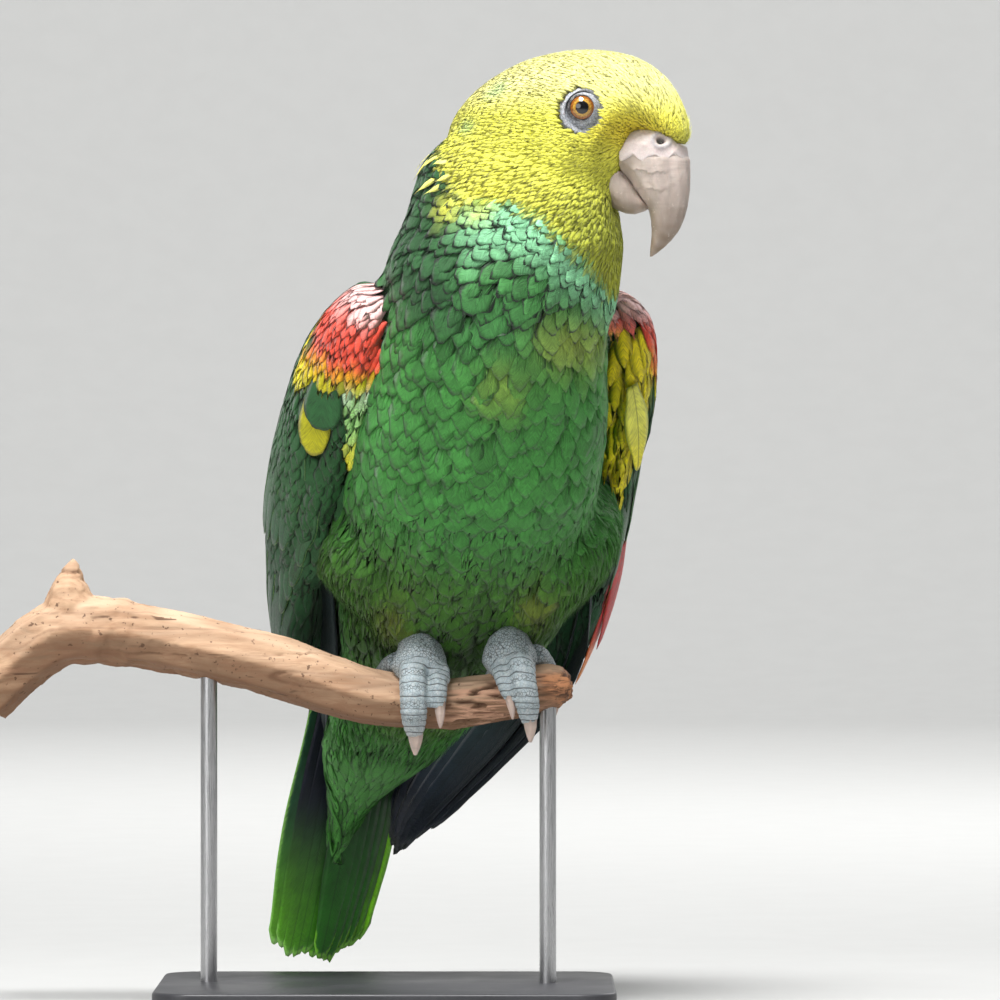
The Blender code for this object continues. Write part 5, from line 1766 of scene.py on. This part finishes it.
# ---- Perch and stand ----
def build_perch():
    """The branch: ridges along the grain, splits, a knot and a torn end."""
    mesh = fused(("perch",), 0.8 * MM, 0.0, 3)
    points, normals = coordinates(mesh), vertex_normals(mesh)
    along = points * (0.18, 1, 1)
    grow = (0.55 * ripple(points, 22, 21) + 0.30 * ripple(along, 3.5, 22)
            + 0.16 * ripple(along, 1.6, 23))
    x = points[:, 0] / MM
    end = step(x, 58, 66)
    split = step(x, 12, 30) * (1 - step(x, 50, 62))
    low = step(-normals[:, 1], 0.1, 0.5) * step(-normals[:, 2], -0.9, -0.5)
    fissure = np.abs(ripple(points * (0.10, 1, 1), 2.1, 24))
    torn = split * low * (1 - step(fissure, 0.03, 0.16))
    grow -= 1.9 * torn
    check = np.abs(ripple(points * (0.05, 1, 1), 9, 31))
    checked = step(ripple(points, 30, 32), -0.1, 0.2)
    grow -= 0.9 * (1 - end) * (1 - step(check, 0.0, 0.035)) * checked
    grow += end * (1.2 * ripple(points, 3.2, 25) + 0.7 * ripple(points, 1.2, 26))
    knot = np.exp(-((x + 99) / 16) ** 2)
    grow += knot * (1.3 * ripple(points, 7, 27) + 0.5 * ripple(points, 2.5, 28))
    worn = -layer_lip(ripple(along, 9, 30) - 0.1, 0.35, 0.12)
    grow += worn * (1 - end)
    move_vertices(mesh, points + normals * grow[:, None] * MM)
    # Painted highlight: paler on the upward faces, in patches.
    weather = step(normals[:, 2], -0.1, 0.8) * clamp(0.65 + 0.5 * ripple(points, 12, 29))
    z = points[:, 2] / MM
    core = step(normals[:, 0], 0.3, 0.7) * step(x, 59, 62)
    core += np.exp(-((x - 60) / 5) ** 4 - ((z - 115.5) / 5) ** 4) * step(-normals[:, 1], 0.2, 0.5)
    # Painted shade: darker on the underside and in the checks.
    shade = step(-normals[:, 2], -0.1, 0.75)
    shade = clamp(shade + 0.5 * (1 - step(check, 0, 0.06)))
    set_attributes(mesh, weather=weather * 0.9, shade=shade, core=clamp(core),
                   torn=torn, split=split * low)
    add_piece("branch", mesh, finish("wood", wood_finish), "bare_wood", "perch")


def bevel(shape, edges, width, segments):
    bmesh.ops.bevel(shape, geom=edges, offset=width * MM, offset_type="OFFSET",
                    segments=segments, profile=0.5, affect="EDGES", material=-1)


def build_stand():
    """A flat plate with rounded corners, and two upright rods."""
    low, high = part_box("stand_base")
    shape = bmesh.new()
    bmesh.ops.create_cube(shape, size=1)
    bmesh.ops.scale(shape, vec=Vector(high) - Vector(low), verts=shape.verts)
    bmesh.ops.translate(shape, vec=(Vector(high) + Vector(low)) / 2, verts=shape.verts)
    upright = [edge for edge in shape.edges
               if abs((edge.verts[0].co - edge.verts[1].co).normalized().z) > 0.9]
    bevel(shape, upright, 14, 16)
    rim = [edge for edge in shape.edges
           if abs(edge.verts[0].co.z - edge.verts[1].co.z) < 1e-6
           and len(edge.link_faces) == 2
           and edge.link_faces[0].normal.angle(edge.link_faces[1].normal) > 1.2]
    bevel(shape, rim, 1.2, 5)
    crease = math.radians(35)
    add_piece("base_plate", mesh_from(shape, "base_plate"), finish("paint", paint_finish),
              "stand_paint", "stand_base", sharp=crease)
    for side in SIDES:
        name = "stand_rod_" + side
        low, high = (Vector(corner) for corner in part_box(name))
        radius = (high.x - low.x) / 2
        shape = bmesh.new()
        bmesh.ops.create_cone(shape, cap_ends=True, segments=48, radius1=radius,
                              radius2=radius, depth=high.z - low.z)
        bmesh.ops.translate(shape, vec=(low + high) / 2, verts=shape.verts)
        add_piece("rod_" + side, mesh_from(shape, "rod_" + side),
                  finish("steel", steel_finish), "stand_steel", name, sharp=crease)


# ---- Stage ----
def area_light(name, place, aim, size, power):
    light = bpy.data.lights.new(name, "AREA")
    light.shape = "DISK"
    light.size = size
    light.energy = power
    holder = add_to_scene(name, light)
    holder.location = place
    holder.rotation_euler = (Vector(aim) - Vector(place)).to_track_quat("-Z", "Y").to_euler()


FIELD_PLANE = 15 * MM              # how far before the perch the seen width is measured


def build_stage():
    """A round floor that turns up into a wall, soft lights and the camera."""
    stage = bpy.context.scene.parrot_stage
    shape = bmesh.new()
    flat, bend, wall = 3.2, 1.6, 5    # metres: radius of the flat part, its upturn, the wall's top
    cove = [(flat + bend * math.sin(turn), 0, bend - bend * math.cos(turn))
            for turn in np.linspace(0.1, 1.5, 12).tolist()]
    turned(shape, [(0, 0, 0), (flat, 0, 0), *cove, (flat + bend, 0, wall)], 96)
    bmesh.ops.remove_doubles(shape, verts=shape.verts, dist=0.1 * MM)
    bmesh.ops.recalc_face_normals(shape, faces=shape.faces)
    if min(shape.faces, key=lambda face: face.calc_center_median().z).normal.z < 0:
        bmesh.ops.reverse_faces(shape, faces=shape.faces)
    mesh = mesh_from(shape, "floor")
    mesh.materials.append(finish("floor", floor_finish))
    mesh.shade_smooth()
    add_to_scene("floor", mesh)
    world = bpy.data.worlds.new("studio")
    world.use_nodes = True
    inputs = world.node_tree.nodes["Background"].inputs
    inputs["Color"].default_value = (0.80, 0.82, 0.85, 1)
    inputs["Strength"].default_value = 0.45
    bpy.context.scene.world = world
    aim = TRUNK_CENTRE
    area_light("top", aim + Vector((-0.15, -0.55, 1.5)), aim, 0.7, stage.key_power)
    area_light("front", aim + Vector((-0.9, -1.4, 0.5)), aim, 1.2, stage.fill_power)
    area_light("rear", aim + Vector((0.9, 1.3, 0.9)), aim, 1.0, stage.fill_power)
    area_light("wall", Vector((0, 1.2, 2.4)), Vector((0, 4.6, 1.2)), 1.5, stage.wall_power)
    camera = bpy.data.cameras.new("camera")
    camera.sensor_width = 36
    camera.lens = camera.sensor_width * (stage.camera_distance - FIELD_PLANE) / stage.field
    camera.clip_start = 0.05
    holder = add_to_scene("camera", camera)
    holder.location = (stage.aim_side, -stage.camera_distance, stage.aim_height)
    holder.rotation_euler = (math.radians(90), 0, 0)
    bpy.context.scene.camera = holder
    bpy.context.scene.view_settings.view_transform = "Standard"


# ---- Operators, panel and run ----
class Build:
    """Shared body of the operators: run one builder."""

    bl_options = {"REGISTER", "UNDO"}

    def execute(self, context):
        type(self).build()
        return {"FINISHED"}


class PARROT_OT_skin(Build, bpy.types.Operator):
    """Lay one skin under the plumage, with lids and feet"""

    bl_idname = "parrot.skin"
    bl_label = "Skin"
    build = staticmethod(build_skin)


class PARROT_OT_eyes(Build, bpy.types.Operator):
    """Make both eyeballs"""

    bl_idname = "parrot.eyes"
    bl_label = "Eyes"
    build = staticmethod(build_eyes)


class PARROT_OT_bill(Build, bpy.types.Operator):
    """Make the upper and lower bill"""

    bl_idname = "parrot.bill"
    bl_label = "Bill"
    build = staticmethod(build_bill)


class PARROT_OT_cere(Build, bpy.types.Operator):
    """Make the bare skin over the bill, with its nostrils"""

    bl_idname = "parrot.cere"
    bl_label = "Cere"
    build = staticmethod(build_cere)


class PARROT_OT_claws(Build, bpy.types.Operator):
    """Make the eight claws"""

    bl_idname = "parrot.claws"
    bl_label = "Claws"
    build = staticmethod(build_claws)


class PARROT_OT_head_coat(Build, bpy.types.Operator):
    """Lay the small feathers of the head"""

    bl_idname = "parrot.head_coat"
    bl_label = "Head feathers"
    build = staticmethod(build_head_coat)


class PARROT_OT_neck_coat(Build, bpy.types.Operator):
    """Lay the scaly feathers of the neck"""

    bl_idname = "parrot.neck_coat"
    bl_label = "Neck feathers"
    build = staticmethod(build_neck_coat)


class PARROT_OT_body_coat(Build, bpy.types.Operator):
    """Lay the feathers of the breast and back"""

    bl_idname = "parrot.body_coat"
    bl_label = "Body feathers"
    build = staticmethod(build_body_coat)


class PARROT_OT_soft_coat(Build, bpy.types.Operator):
    """Lay the loose feathers of the belly, thighs and vent"""

    bl_idname = "parrot.soft_coat"
    bl_label = "Soft feathers"
    build = staticmethod(build_soft_coat)


class PARROT_OT_undertail(Build, bpy.types.Operator):
    """Lay the coverts round the tail's root"""

    bl_idname = "parrot.undertail"
    bl_label = "Tail coverts"
    build = staticmethod(build_undertail)


class PARROT_OT_wing_coverts(Build, bpy.types.Operator):
    """Lay the small coverts of both wings"""

    bl_idname = "parrot.wing_coverts"
    bl_label = "Wing coverts"
    build = staticmethod(build_wing_coverts)


class PARROT_OT_flight_feathers(Build, bpy.types.Operator):
    """Make the long feathers of both wings"""

    bl_idname = "parrot.flight_feathers"
    bl_label = "Flight feathers"
    build = staticmethod(build_flight_feathers)


class PARROT_OT_tail(Build, bpy.types.Operator):
    """Make the twelve tail feathers"""

    bl_idname = "parrot.tail"
    bl_label = "Tail"
    build = staticmethod(build_tail)


class PARROT_OT_perch(Build, bpy.types.Operator):
    """Make the bare branch"""

    bl_idname = "parrot.perch"
    bl_label = "Perch"
    build = staticmethod(build_perch)


class PARROT_OT_stand(Build, bpy.types.Operator):
    """Make the stand's base and rods"""

    bl_idname = "parrot.stand"
    bl_label = "Stand"
    build = staticmethod(build_stand)


class PARROT_OT_stage(Build, bpy.types.Operator):
    """Set the floor, the lights and the camera"""

    bl_idname = "parrot.stage"
    bl_label = "Stage"
    build = staticmethod(build_stage)


OPERATORS = (PARROT_OT_skin, PARROT_OT_eyes, PARROT_OT_bill, PARROT_OT_cere, PARROT_OT_claws,
             PARROT_OT_head_coat, PARROT_OT_neck_coat, PARROT_OT_body_coat,
             PARROT_OT_soft_coat, PARROT_OT_undertail, PARROT_OT_wing_coverts,
             PARROT_OT_flight_feathers, PARROT_OT_tail, PARROT_OT_perch, PARROT_OT_stand,
             PARROT_OT_stage)


class PARROT_PT_pieces(bpy.types.Panel):
    """The pieces of the model, in the order in which they are made"""

    bl_label = "Amazon Parrot"
    bl_idname = "PARROT_PT_pieces"
    bl_space_type = "VIEW_3D"
    bl_region_type = "UI"
    bl_category = "Parrot"

    def draw(self, context):
        for operator in OPERATORS:
            self.layout.operator(operator.bl_idname)


CLASSES = (*GROUPS.values(), *OPERATORS, PARROT_PT_pieces)


def register():
    for kind in CLASSES:
        bpy.utils.register_class(kind)
    for name, group in GROUPS.items():
        setattr(bpy.types.Scene, name, PointerProperty(type=group))


def unregister():
    for name in GROUPS:
        delattr(bpy.types.Scene, name)
    for kind in reversed(CLASSES):
        bpy.utils.unregister_class(kind)


def main():
    register()
    for operator in OPERATORS:
        area, name = operator.bl_idname.split(".")
        getattr(getattr(bpy.ops, area), name)()


if __name__ == "__main__":
    main()
